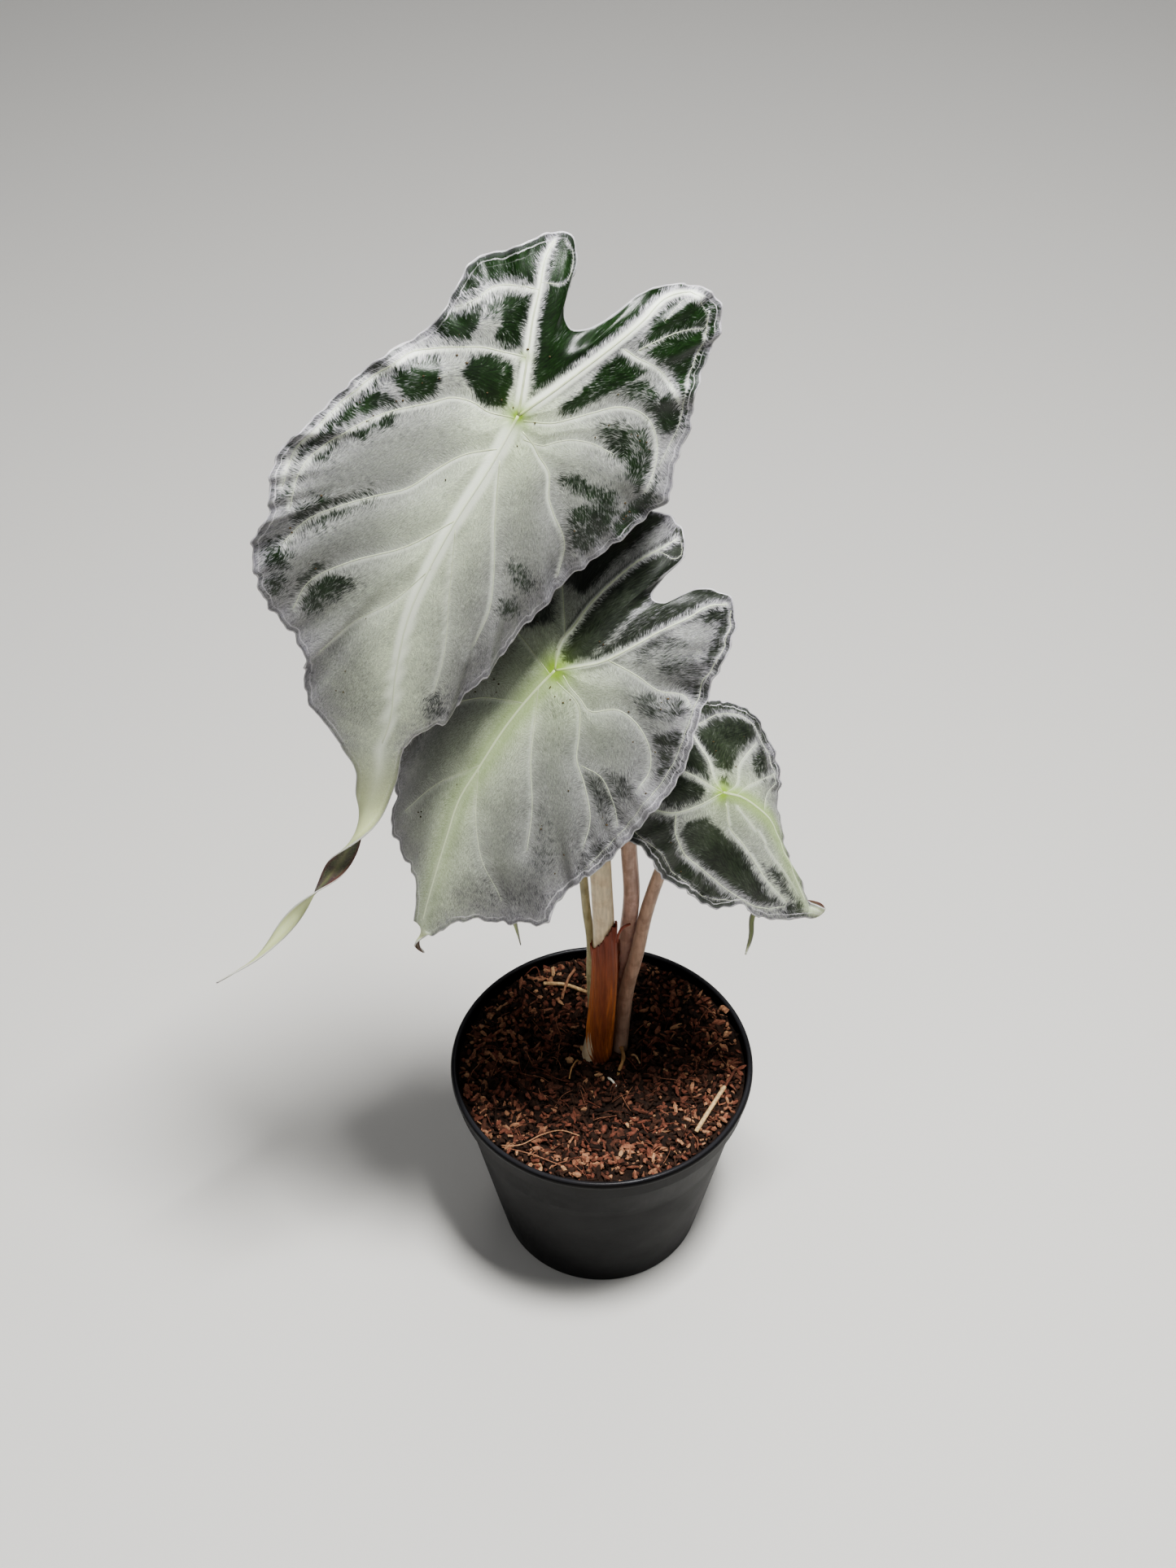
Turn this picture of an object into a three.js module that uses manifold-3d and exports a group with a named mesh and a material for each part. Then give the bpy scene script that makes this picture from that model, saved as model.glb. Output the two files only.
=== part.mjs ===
// Potted alocasia: three leaves that face the viewer and one that faces away, on stems that
// rise from a corm in a nursery pot. Millimetres, +Z up, origin under the middle of the pot.
import * as THREE from "three";
import { mergeVertices } from "three/addons/utils/BufferGeometryUtils.js";
import Module from "manifold-3d";

const wasm = await Module();
wasm.setup();

// Driving dimensions
const gap = 0.3;
const pot = {
  height: 95,
  rimRadius: 60,
  baseRadius: 41.5,
  wall: 1.1,
  bandHeight: 11,
  floor: 1.6,
  segments: 44,
  drainHoles: 8,
  drainRadius: 3.5,
  drainCircle: 33,
};
const soil = {
  top: 84,
  relief: 0.7,
  bank: 5, // how much higher the mix lies at the wall
  bankFrom: 25,
  bankTo: 52,
  segments: 26,
  rings: [50, 41, 31, 18, 0],
  chips: 26,
  chipReach: 50,
  stemsClear: 17,
  fibres: 5,
  seed: 7,
};
const corm = { x: 2, y: 17, top: 73, radius: 13, depth: 24, segments: 14, roots: 4 };
const bladeThickness = 0.9;
const tailThickness = 0.8;
const veinFoot = 0.1;
const veinStep = 11;
const veinTaper = 0.35;
const stemBend = [9, 4];
const stemSteps = 20;
const stemSides = 8;
const holeClearance = gap + 0.3;

// Every stem runs from its foot on the corm to the back of its blade.
const stems = {
  petiole_large: {
    leaf: "leaf_large",
    color: "#b9b585",
    radii: [4.4, 3.1],
    path: [
      [-1.4, 10.8, 82], [0.9, 6, 138], [0.4, 6, 166], [-1, 6, 199], [-4, 14, 265], [-9, 26, 318],
      [-15, 29, 350], [-22, 14, 384], [-26, -5, 401],
    ],
  },
  petiole_medium: {
    leaf: "leaf_medium",
    color: "#a88d76",
    radii: [3.4, 2.7],
    path: [[4.5, 24, 82], [9.2, 18, 144], [10.7, 12, 178], [9.4, 12, 202], [8, 8, 235], [2, -2, 270]],
  },
  petiole_small: {
    leaf: "leaf_small",
    color: "#8f8a5a",
    radii: [3.1, 2.1],
    path: [[7.6, 15, 82], [9.7, 15, 118], [13.4, 13, 144], [16.6, 11, 170], [21.6, 8, 197], [29, 4, 227]],
  },
  petiole_hidden: {
    leaf: "leaf_hidden",
    color: "#7d8a4c",
    radii: [1.8, 1.6],
    path: [[-3, 20.5, 82], [-4.4, 15, 129], [-4.4, 15, 148], [-6, 14, 167], [-8, 16, 190], [-14, 21, 220]],
  },
};

// A blade is measured in its own plane from the point where the stem meets it: the first
// number runs across it, to the right with the tip down, and the second towards its tip.
const leaves = {
  leaf_large: {
    junction: [-25, -20, 408],
    facing: -80,
    lift: 16,
    swing: -25.5,
    archTip: 280,
    archLobes: 300,
    fold: 0.15,
    foldRound: 10,
    curl: 3,
    ruffle: 1.3,
    waves: 17,
    samples: 88,
    midrib: [[0, 0], [-2, 17], [-5, 35], [-6.5, 54], [-6, 70], [-2, 90], [3, 107], [5, 121]],
    outline: [
      [-7, 124], [-14, 118], [-21, 113], [-25, 106], [-28, 97], [-34, 91], [-44, 84], [-51, 75],
      [-55, 65], [-54, 55], [-57, 44], [-57, 36], [-53, 25], [-49, 17], [-44, 6], [-39, -3],
      [-33, -9], [-28, -19], [-25.5, -29], [-27.8, -35.8], [-19, -41], [-9, -49], [-3, -50], [1, -44], [1, -36],
      [4, -28], [8, -27], [14, -32], [22, -43], [32, -48], [41, -48], [46, -42], [46, -30],
      [46, -22], [50, -11], [50, 0], [53, 11], [50, 18], [42, 32], [34, 49], [30, 62],
      [27, 78], [23, 92], [21, 104], [14, 111], [12, 118],
    ],
    veinRadius: 1.1,
    veins: [
      [[0, 0], [-2, -9], [-5, -22], [-8, -38], [-7, -46]],
      [[0, 0], [7, -10], [19, -28], [28, -43], [37, -46]],
      [[-7, -33], [-14, -32], [-22, -25]],
      [[-4, -16], [-16, -14], [-28, -8], [-40, 6]],
      [[-1, 2], [-14, 2], [-26, 7], [-38, 17]],
      [[-2, 11], [-15, 22], [-29, 37], [-42, 50]],
      [[-5, 35], [-15, 48], [-28, 59], [-39, 74]],
      [[2, 0], [22, -9], [36, -12], [45, -2]],
      [[1, 3], [15, 5], [29, 0], [42, 8]],
      [[0, 6], [12, 12], [26, 28], [35, 38]],
      [[-1, 17], [6, 32], [12, 47], [22, 76]],
      [[20, -29], [30, -34], [41, -38]],
    ],
    tail: {
      path: [
        [-72, -33.4, 284], [-76, -32, 269], [-80.8, -32, 258], [-89.2, -33, 239.8], [-96.5, -35, 229.6],
        [-108.7, -38, 215], [-120.4, -42, 203.2], [-133.4, -46, 195.9],
      ],
      widths: [[0, 19], [0.08, 14.5], [0.3, 9.5], [0.45, 7], [0.7, 5.4], [0.9, 2.2], [1, 0.8]],
      twist: [[0, 0], [0.2, 10], [0.32, 90], [0.44, 180], [0.55, 270], [0.7, 360], [0.86, 450], [1, 500]],
      rows: 20,
    },
  },
  leaf_medium: {
    junction: [-15.6, -18, 313],
    facing: -120,
    lift: 32,
    swing: -14,
    archTip: 250,
    archLobes: 300,
    fold: 0.4,
    foldRound: 8,
    curl: 3,
    ruffle: 1.2,
    waves: 15,
    samples: 72,
    midrib: [[0, 0], [-3, 11], [-6, 26], [-8, 42], [-10, 58], [-9, 73], [-8, 91], [-7, 112]],
    outline: [
      [-11, 113], [-13, 103], [-17, 97], [-25, 97], [-33, 91], [-38, 82], [-43, 68], [-48, 52],
      [-50, 36], [-52, 20], [-50, 6], [-46, -6], [-41, -16], [-33, -27], [-26, -38], [-16, -49],
      [-4, -56], [7, -58.5], [13, -56], [16, -51], [14, -42], [14, -35], [18, -36], [24.5, -45],
      [33.5, -47.5], [39, -41], [42, -29], [41.5, -21], [43.5, -10], [46.5, 6], [45.5, 24], [42.5, 37],
      [38, 55], [31, 71], [30.2, 79], [30.6, 85], [25, 88.5], [14, 96], [5, 101], [-2, 113],
    ],
    veinRadius: 1,
    veins: [
      [[0, 0], [-3, -8], [-1, -21], [4, -44], [12, -53]],
      [[0, 0], [12, -12], [22, -28], [31, -43]],
      [[12, -12], [25, -11], [39, -11]],
      [[2, 1], [12, 5], [26, 1], [38, 14]],
      [[-2, 8], [3, 23], [10, 40], [17, 62]],
      [[6, 12], [20, 22], [36, 32]],
      [[-2, -10], [-14, -22], [-24, -30]],
      [[-1, 2], [-18, -1], [-34, 0], [-42, 10]],
      [[-4, 15], [-20, 24], [-34, 40]],
      [[-8, 42], [-20, 58], [-30, 78]],
      [[-10, 62], [-4, 80], [4, 92]],
    ],
    tail: {
      path: [[-63.5, -31.5, 204.5], [-65.2, -31.5, 201], [-65, -30.5, 197], [-63, -30, 193.5]],
      widths: [[0, 8.5], [0.3, 3.6], [0.6, 2.4], [1, 1]],
      twist: [[0, 0], [1, 160]],
      rows: 8,
    },
  },
  leaf_small: {
    junction: [40, -8, 250],
    facing: -42,
    lift: 36,
    swing: 12.5,
    archTip: 200,
    archLobes: 250,
    fold: 0.4,
    foldRound: 6,
    curl: 2,
    ruffle: 0.9,
    waves: 12,
    samples: 56,
    midrib: [[0, 0], [5, 7], [8, 15], [9.5, 22], [9, 31], [7, 43], [6, 55], [5.5, 62]],
    outline: [
      [3, 64], [-5, 57], [-12, 47], [-14, 40], [-21, 35], [-27, 20], [-31, 6], [-32, -6],
      [-35, -13], [-33, -22], [-27, -29], [-18, -33], [-9, -34], [-2, -31], [3, -24], [8, -22],
      [12, -24], [19.5, -22], [28.5, -15.5], [37, -6], [38.5, 4], [33.5, 12.5], [23, 21], [15, 25.5],
      [11, 34], [10, 46], [9, 56], [8.5, 62],
    ],
    veinRadius: 0.8,
    veins: [
      [[0, 0], [6, -9], [10, -20]],
      [[0, 0], [-3, -9], [-9, -20], [-13, -28]],
      [[0, 0], [-10, -3], [-24, -14]],
      [[-14, -5], [-20, 4], [-16, 30]],
      [[1, 3], [-1, 16], [-2, 36], [0, 52]],
      [[4, 4], [16, 2], [30, 0]],
      [[3, 0], [16, -9], [28, -10]],
      [[9, 16], [18, 12], [26, 14]],
    ],
    tail: {
      path: [
        [75.9, -12.6, 195.4], [78.6, -10.4, 191.5], [77.2, -4, 188.6], [69.5, 0.6, 186.4],
        [60.5, -0.5, 186.5], [54.5, -6.3, 186.3], [53.4, -12.7, 182.5], [51.3, -18.1, 178.3],
      ],
      widths: [[0, 5.6], [0.2, 4], [0.6, 3], [0.9, 1.6], [1, 0.8]],
      twist: [[0, 0], [0.4, 100], [1, 260]],
      rows: 18,
    },
  },
  leaf_hidden: {
    junction: [-22, 34, 245],
    facing: 115,
    lift: 25,
    swing: 0,
    archTip: 220,
    archLobes: 250,
    fold: 0.15,
    foldRound: 8,
    curl: 2,
    ruffle: 0.9,
    waves: 11,
    samples: 48,
    midrib: [[0, 0], [1.5, 18], [1.5, 40], [0, 62], [0, 76]],
    outline: [
      [-3.5, 76], [-6, 67], [-13, 56], [-20, 42], [-24, 26], [-25, 12], [-24, -2], [-21, -14],
      [-17, -25], [-11, -30], [-5, -27], [-3, -19], [0, -15], [3, -19], [6, -27], [12, -31],
      [19, -26], [23, -14], [26, -1], [27, 12], [26, 27], [21, 43], [14, 56], [6, 67], [3.5, 76],
    ],
    veinRadius: 0.8,
    veins: [
      [[0, 0], [-5, -12], [-10, -24]],
      [[0, 0], [6, -12], [12, -24]],
      [[0, 3], [-12, 5], [-21, 14]],
      [[0, 3], [13, 5], [22, 14]],
      [[1, 16], [-10, 32], [-15, 42]],
      [[1, 16], [12, 32], [16, 42]],
    ],
    tail: {
      path: [[-35.8, 43.6, 166], [-36.5, 43, 150], [-35.5, 42, 134], [-33, 41.5, 116]],
      widths: [[0, 7], [0.3, 4], [0.7, 2.6], [1, 0.8]],
      twist: [[0, 0], [0.4, 90], [1, 240]],
      rows: 12,
    },
  },
};

// Papery remains of old stem bases, each wrapped round a stem.
const sheaths = {
  dry_sheath: {
    stem: "petiole_large",
    color: "#6b3f24",
    from: 84.8,
    to: 171,
    heights: 7,
    columns: 14,
    cover: 300,
    facing: -60,
    notch: 0.15,
  },
  dry_sheath_scrap: {
    stem: "petiole_medium",
    color: "#3a2a20",
    from: 112,
    to: 149,
    heights: 5,
    columns: 7,
    cover: 120,
    facing: -170,
    notch: 0.6,
  },
};
const sheathThickness = 0.7;

// Small tools

const vector = (list) => new THREE.Vector3(...list);
const radians = THREE.MathUtils.degToRad;
const smoothstep = THREE.MathUtils.smoothstep;

function randomFrom(seed) {
  let state = seed;
  return () => {
    state = (state * 16807) % 2147483647;
    return state / 2147483647;
  };
}

// A smooth curve through [place, value] pairs, straight beyond its ends.
function smoothThrough(pairs, place) {
  const last = pairs.length - 1;
  const slope = (i) => {
    const a = pairs[Math.max(i - 1, 0)];
    const b = pairs[Math.min(i + 1, last)];
    return (b[1] - a[1]) / (b[0] - a[0]);
  };
  if (place <= pairs[0][0]) return pairs[0][1] + slope(0) * (place - pairs[0][0]);
  if (place >= pairs[last][0]) return pairs[last][1] + slope(last) * (place - pairs[last][0]);
  const i = pairs.findIndex((pair) => pair[0] > place) - 1;
  const [x0, y0] = pairs[i];
  const [x1, y1] = pairs[i + 1];
  const width = x1 - x0;
  const t = (place - x0) / width;
  const rise = (3 - 2 * t) * t * t;
  return y0 + (y1 - y0) * rise + width * t * (1 - t) * (slope(i) * (1 - t) - slope(i + 1) * t);
}

// Triangles with two corners on one point, such as a lathe's at its pole, are left out.
function withoutSlivers(index) {
  const kept = [];
  for (let i = 0; i < index.length; i += 3) {
    const [a, b, c] = index.slice(i, i + 3);
    if (a !== b && b !== c && c !== a) kept.push(a, b, c);
  }
  return kept;
}

function solidFrom(geometry) {
  const bare = geometry.clone();
  bare.deleteAttribute("normal");
  bare.deleteAttribute("uv");
  const merged = mergeVertices(bare, 1e-4);
  const vertProperties = new Float32Array(merged.attributes.position.array);
  const triVerts = new Uint32Array(withoutSlivers(merged.index.array));
  return new wasm.Manifold(new wasm.Mesh({ numProp: 3, vertProperties, triVerts }));
}

function geometryFrom(solid) {
  const { vertProperties, triVerts } = solid.getMesh();
  const geometry = new THREE.BufferGeometry();
  geometry.setAttribute("position", new THREE.BufferAttribute(vertProperties, 3));
  geometry.setIndex(new THREE.BufferAttribute(triVerts, 1));
  return geometry;
}

function geometryOf(points, faces) {
  return new THREE.BufferGeometry().setFromPoints(points).setIndex(faces.flat());
}

// A closed solid from an open sheet of triangles: both faces are split alike.
function thicken(points, faces, thicknessAt) {
  const sheet = geometryOf(points, faces);
  sheet.computeVertexNormals();
  const count = points.length;
  const both = [1, -1].flatMap((side) =>
    points.map((point, i) => {
      const normal = new THREE.Vector3().fromBufferAttribute(sheet.attributes.normal, i);
      return point.clone().addScaledVector(normal, (side * thicknessAt(i)) / 2);
    }),
  );
  const edges = new Set(faces.flatMap(([a, b, c]) => [`${a} ${b}`, `${b} ${c}`, `${c} ${a}`]));
  const closed = [...faces];
  for (const [a, b, c] of faces) closed.push([a + count, c + count, b + count]);
  for (const edge of edges) {
    const [a, b] = edge.split(" ").map(Number);
    if (edges.has(`${b} ${a}`)) continue;
    closed.push([b, a, a + count], [b, a + count, b + count]);
  }
  return geometryOf(both, closed);
}

// A closed rod along a path, with a radius for every share of its length.
function rod(path, steps, sides, radiusAt) {
  const curve = new THREE.CatmullRomCurve3(path.map(vector), false, "centripetal");
  const { normals, binormals } = curve.computeFrenetFrames(steps);
  const points = [];
  const faces = [];
  for (let i = 0; i <= steps; i++) {
    const centre = curve.getPointAt(i / steps);
    for (let k = 0; k < sides; k++) {
      const turn = (2 * Math.PI * k) / sides;
      const out = normals[i].clone().multiplyScalar(Math.cos(turn));
      out.addScaledVector(binormals[i], Math.sin(turn));
      points.push(centre.clone().addScaledVector(out, radiusAt(i / steps)));
    }
  }
  for (let i = 0; i < steps; i++) {
    for (let k = 0; k < sides; k++) {
      const a = i * sides + k;
      const b = i * sides + ((k + 1) % sides);
      faces.push([a, b, a + sides], [b, b + sides, a + sides]);
    }
  }
  const end = steps * sides;
  for (let k = 1; k < sides - 1; k++) faces.push([0, k + 1, k], [end, end + k, end + k + 1]);
  return geometryOf(points, faces);
}

// Leaves

// Directions of a blade: across it, towards its tip, and out of its face.
function bladeAxes({ facing, lift, swing }) {
  const turn = radians(facing);
  const rise = radians(lift);
  const out = new THREE.Vector3(
    Math.cos(rise) * Math.cos(turn),
    Math.cos(rise) * Math.sin(turn),
    Math.sin(rise),
  );
  const down = new THREE.Vector3(0, 0, -1).addScaledVector(out, out.z).normalize();
  const along = down.applyAxisAngle(out, radians(swing));
  return { across: out.clone().cross(along), along, out };
}

// The margin as points in the blade's plane, then the points across its neck.
function marginOf(leaf) {
  const flat = leaf.outline.map(([u, v]) => new THREE.Vector3(u, v, 0));
  const curve = new THREE.CatmullRomCurve3(flat, false, "centripetal");
  const points = curve.getSpacedPoints(leaf.samples - 2);
  const tip = leaf.midrib[leaf.midrib.length - 1];
  return [...points.map(({ x, y }) => [x, y]), tip];
}

// How far out towards the margin a place in the blade lies, and where along the margin.
function marginShare(margin, u, v) {
  for (let i = 0; i < margin.length; i++) {
    const [ax, ay] = margin[i];
    const [bx, by] = margin[(i + 1) % margin.length];
    const cross = ax * by - ay * bx;
    const a = (u * by - v * bx) / cross;
    const b = (ax * v - ay * u) / cross;
    if (a >= -1e-9 && b >= -1e-9) return { edge: a + b, place: (i + b / (a + b || 1)) / margin.length };
  }
  return { edge: 0, place: 0 };
}

// Height of the blade over its plane: arched along the midrib, folded across it, and waved
// at the margin, but not at the neck.
function bladeHeight(leaf, u, v, edge, place) {
  const arch = (v * v) / (2 * (v > 0 ? leaf.archTip : leaf.archLobes));
  const ribs = leaf.midrib.map(([x, y]) => [y, x]);
  const side = u - smoothThrough(ribs, v);
  const roof = leaf.fold * (Math.hypot(side, leaf.foldRound) - leaf.foldRound);
  const free = smoothstep(edge, 0.55, 1) * smoothstep(Math.min(place, 1 - place), 0.01, 0.06);
  const turn = 2 * Math.PI * leaf.waves * place;
  const wave = leaf.ruffle * (Math.sin(turn) + 0.5 * Math.sin(1.7 * turn + 1));
  return -arch - roof - free * (leaf.curl * free - wave);
}

function bladePoint(leaf, margin, u, v) {
  const { across, along, out } = bladeAxes(leaf);
  const { edge, place } = marginShare(margin, u, v);
  return vector(leaf.junction)
    .addScaledVector(across, u)
    .addScaledVector(along, v)
    .addScaledVector(out, bladeHeight(leaf, u, v, edge, place));
}

// Rings of the blade: share of the reach, and how many margin points one ring point stands for.
const bladeRings = [[0.14, 4], [0.32, 4], [0.5, 2], [0.68, 2], [0.82, 1], [0.92, 1], [1, 1]];

function bladeSheet(leaf, margin) {
  const points = [vector(leaf.junction)];
  const faces = [];
  let inner = null;
  for (const [share, skip] of bladeRings) {
    const ring = [];
    for (let i = 0; i < margin.length; i += skip) {
      ring.push(points.length);
      points.push(bladePoint(leaf, margin, margin[i][0] * share, margin[i][1] * share));
    }
    for (let i = 0; i < ring.length; i++) {
      const a = ring[i];
      const b = ring[(i + 1) % ring.length];
      if (!inner) {
        faces.push([0, b, a]);
        continue;
      }
      const ratio = ring.length / inner.length;
      const c = inner[Math.floor(i / ratio)];
      const d = inner[Math.floor((i + 1) / ratio) % inner.length];
      faces.push([c, b, a]);
      if (d !== c) faces.push([c, d, b]);
    }
    inner = ring;
  }
  return { points, faces, neck: [inner[0], inner[inner.length - 1], inner[inner.length - 2]] };
}

// The twisted tail carries on from the three points of the neck.
function addTail(leaf, sheet) {
  const { path, widths, twist, rows } = leaf.tail;
  const [left, middle, right] = sheet.neck.map((i) => sheet.points[i]);
  const curve = new THREE.CatmullRomCurve3([middle, ...path.map(vector)], false, "centripetal");
  const side = right.clone().sub(left).normalize();
  let before = curve.getTangentAt(0);
  let row = sheet.neck;
  for (let k = 1; k <= rows; k++) {
    const share = k / rows;
    const tangent = curve.getTangentAt(share);
    const turn = new THREE.Quaternion().setFromUnitVectors(before, tangent);
    side.applyQuaternion(turn).addScaledVector(tangent, -side.dot(tangent)).normalize();
    before = tangent;
    const width = side.clone().applyAxisAngle(tangent, radians(smoothThrough(twist, share)));
    const half = smoothThrough(widths, share) / 2;
    const next = [-1, 0, 1].map((step) => {
      sheet.points.push(curve.getPointAt(share).addScaledVector(width, step * half));
      return sheet.points.length - 1;
    });
    for (const i of [0, 1]) {
      sheet.faces.push([row[i], next[i], next[i + 1]], [row[i], next[i + 1], row[i + 1]]);
    }
    row = next;
  }
}

// A raised vein: a ridge with its foot sunk in the upper face, which gets lower towards its end.
function veinSolid(leaf, margin, line, radius) {
  const flat = new THREE.SplineCurve(line.map(([u, v]) => new THREE.Vector2(u, v)));
  const steps = Math.max(3, Math.round(flat.getLength() / veinStep));
  const { out } = bladeAxes(leaf);
  const path = flat.getSpacedPoints(steps).map(({ x, y }) => bladePoint(leaf, margin, x, y));
  const points = [];
  const faces = [];
  path.forEach((point, i) => {
    const heading = path[Math.min(i + 1, steps)].clone().sub(path[Math.max(i - 1, 0)]);
    const side = out.clone().cross(heading).normalize();
    const size = radius * (1 - (veinTaper * i) / steps);
    points.push(point.clone().addScaledVector(side, size).addScaledVector(out, veinFoot));
    points.push(point.clone().addScaledVector(out, bladeThickness / 2 + 0.6 * size));
    points.push(point.clone().addScaledVector(side, -size).addScaledVector(out, veinFoot));
  });
  for (let i = 0; i < 3 * steps; i += 3) {
    for (let k = 0; k < 3; k++) {
      const a = i + k;
      const b = i + ((k + 1) % 3);
      faces.push([a, b, a + 3], [b, b + 3, a + 3]);
    }
  }
  faces.push([0, 2, 1], [3 * steps, 3 * steps + 1, 3 * steps + 2]);
  return solidFrom(geometryOf(points, faces));
}

function leafGeometry(leaf) {
  const margin = marginOf(leaf);
  const sheet = bladeSheet(leaf, margin);
  const bladeCount = sheet.points.length;
  addTail(leaf, sheet);
  const thicknessAt = (i) => (i < bladeCount ? bladeThickness : tailThickness);
  let solid = solidFrom(thicken(sheet.points, sheet.faces, thicknessAt));
  const midrib = leaf.midrib.slice(0, -1).map(([u, v]) => bladePoint(leaf, margin, u, v).toArray());
  const midribRadius = (share) => leaf.veinRadius * (1.2 - 0.5 * share);
  solid = solid.add(solidFrom(rod(midrib, 10, 6, midribRadius)));
  for (const line of leaf.veins) solid = solid.add(veinSolid(leaf, margin, line, leaf.veinRadius));
  return geometryFrom(solid);
}

// Stems

// The last points bring a stem to the back of its blade, clear of the veins there.
function stemPath({ leaf, path }) {
  const blade = leaves[leaf];
  const { out } = bladeAxes(blade);
  const clear = blade.veinRadius * 1.3 + gap + 0.1;
  const behind = (depth) => vector(blade.junction).addScaledVector(out, -depth).toArray();
  const back = [...stemBend, clear].map(behind);
  const [x, y] = path[0];
  return [[x, y, corm.top + gap], [x, y, corm.top + 4], ...path, ...back];
}

const stemRadius = ([foot, head]) => (share) => foot + (head - foot) * share;

function stemGeometry(stem) {
  return rod(stemPath(stem), stemSteps, stemSides, stemRadius(stem.radii));
}

// A sheath is an open shell round its stem, with a slanted ragged top.
function sheathGeometry({ stem, from, to, heights, columns, cover, facing, notch }) {
  const carrier = stems[stem];
  const curve = new THREE.CatmullRomCurve3(stemPath(carrier).map(vector), false, "centripetal");
  const samples = curve.getSpacedPoints(400);
  const middleAt = (z) => samples.find((point) => point.z >= z);
  const base = Math.max(...carrier.radii) + gap + 0.1 + sheathThickness / 2;
  const points = [];
  const faces = [];
  for (let k = 0; k <= columns; k++) {
    const across = k / columns;
    const turn = radians(facing + cover * (across - 0.5));
    const ragged = 0.05 * Math.sin(9 * k) + 0.04 * Math.sin(23 * k);
    const tall = 1 - notch * smoothstep(Math.abs(across - 0.62), 0.02, 0.5) + ragged;
    for (let i = 0; i <= heights; i++) {
      const share = i / heights;
      const z = from + (to - from) * Math.min(tall, 1) * share;
      const { x, y } = middleAt(z);
      const flare = base + 0.5 * (1 - share) + 0.25 * Math.sin(5 * k + 3 * share);
      points.push(new THREE.Vector3(x + flare * Math.cos(turn), y + flare * Math.sin(turn), z));
    }
  }
  const row = heights + 1;
  for (let k = 0; k < columns; k++) {
    for (let i = 0; i < heights; i++) {
      const a = k * row + i;
      faces.push([a, a + row, a + row + 1], [a, a + row + 1, a + 1]);
    }
  }
  return thicken(points, faces, () => sheathThickness);
}

// Pot

const wallRadius = (z) => pot.baseRadius + ((pot.rimRadius - 3 - pot.baseRadius) * z) / (pot.height - 9);

function potGeometry() {
  const { height, rimRadius, wall, bandHeight, floor } = pot;
  const shoulder = height - bandHeight;
  const profile = [
    [0, 0],
    [pot.baseRadius - 1, 0],
    [pot.baseRadius, 1],
    [wallRadius(shoulder), shoulder],
    [rimRadius - 1.6, shoulder + 0.8],
    [rimRadius - 1, height - 3.5],
    [rimRadius, height - 2.6],
    [rimRadius, height - 0.9],
    [rimRadius - 0.7, height - 0.1],
    [rimRadius - 1.6, height],
    [rimRadius - 2.4, height - 0.6],
    [rimRadius - 2.6, shoulder + 2.2],
    [wallRadius(shoulder) - wall, shoulder + 0.6],
    [wallRadius(floor) - wall, floor],
    [0, floor],
  ];
  const shell = new THREE.LatheGeometry(profile.map(([r, z]) => new THREE.Vector2(r, z)), pot.segments);
  let solid = solidFrom(shell.rotateX(Math.PI / 2));
  for (let i = 0; i < pot.drainHoles; i++) {
    const turn = (2 * Math.PI * i) / pot.drainHoles;
    const hole = new THREE.CylinderGeometry(pot.drainRadius, pot.drainRadius, 3 * floor, 10);
    hole.rotateX(Math.PI / 2);
    hole.translate(pot.drainCircle * Math.cos(turn), pot.drainCircle * Math.sin(turn), floor / 2);
    solid = solid.subtract(solidFrom(hole));
  }
  return geometryFrom(solid);
}

// Corm and roots; grow widens them for the hollow that holds them in the mix.
function cormSolid(grow) {
  const { x, y, top, radius, depth } = corm;
  const high = top + grow;
  const low = top - depth - grow;
  const wide = radius + grow;
  const profile = [
    [0, low],
    [wide * 0.45, low + 1.5],
    [wide * 0.85, low + 7],
    [wide, low + depth * 0.5],
    [wide, high - 4],
    [wide - 1, high],
    [0, high],
  ];
  const body = new THREE.LatheGeometry(profile.map(([r, z]) => new THREE.Vector2(r, z)), corm.segments);
  let solid = solidFrom(body.rotateX(Math.PI / 2).translate(x, y, 0));
  const roots = [
    {
      radius: 1.1,
      path: [[6, 10, 68], [8, 9.5, 78], [9.6, 8.6, 86], [9.4, 5, 86.6], [8.1, 2.1, 84.5], [8, 0, 80]],
    },
    {
      radius: 0.8,
      path: [[3, 8, 66], [3.4, 1.5, 78], [3.8, -0.7, 85.6], [5.4, -4.4, 86.2], [6, -6, 85.2]],
    },
  ];
  for (let i = 0; i < corm.roots; i++) {
    const turn = (2 * Math.PI * (i + 0.3)) / corm.roots;
    const reach = (far, z) => [x + far * Math.cos(turn), y + far * Math.sin(turn), z];
    const path = [reach(6, top - 16), reach(15, top - 22), reach(18, top - 34), reach(16, top - 48)];
    roots.push({ radius: 1.2, path });
  }
  for (const root of roots) solid = solid.add(solidFrom(rod(root.path, 5, 4, () => root.radius + grow)));
  return solid;
}

// Potting mix

// The mix lies lower round the stems and banks up towards the wall.
function soilHeight(x, y) {
  const swell = Math.sin(x * 0.21 + 1) * Math.cos(y * 0.17) + 0.6 * Math.sin(x * 0.47 - y * 0.39);
  const bank = smoothstep(Math.hypot(x, y), soil.bankFrom, soil.bankTo);
  return soil.top + soil.relief * swell + soil.bank * bank;
}

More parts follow.
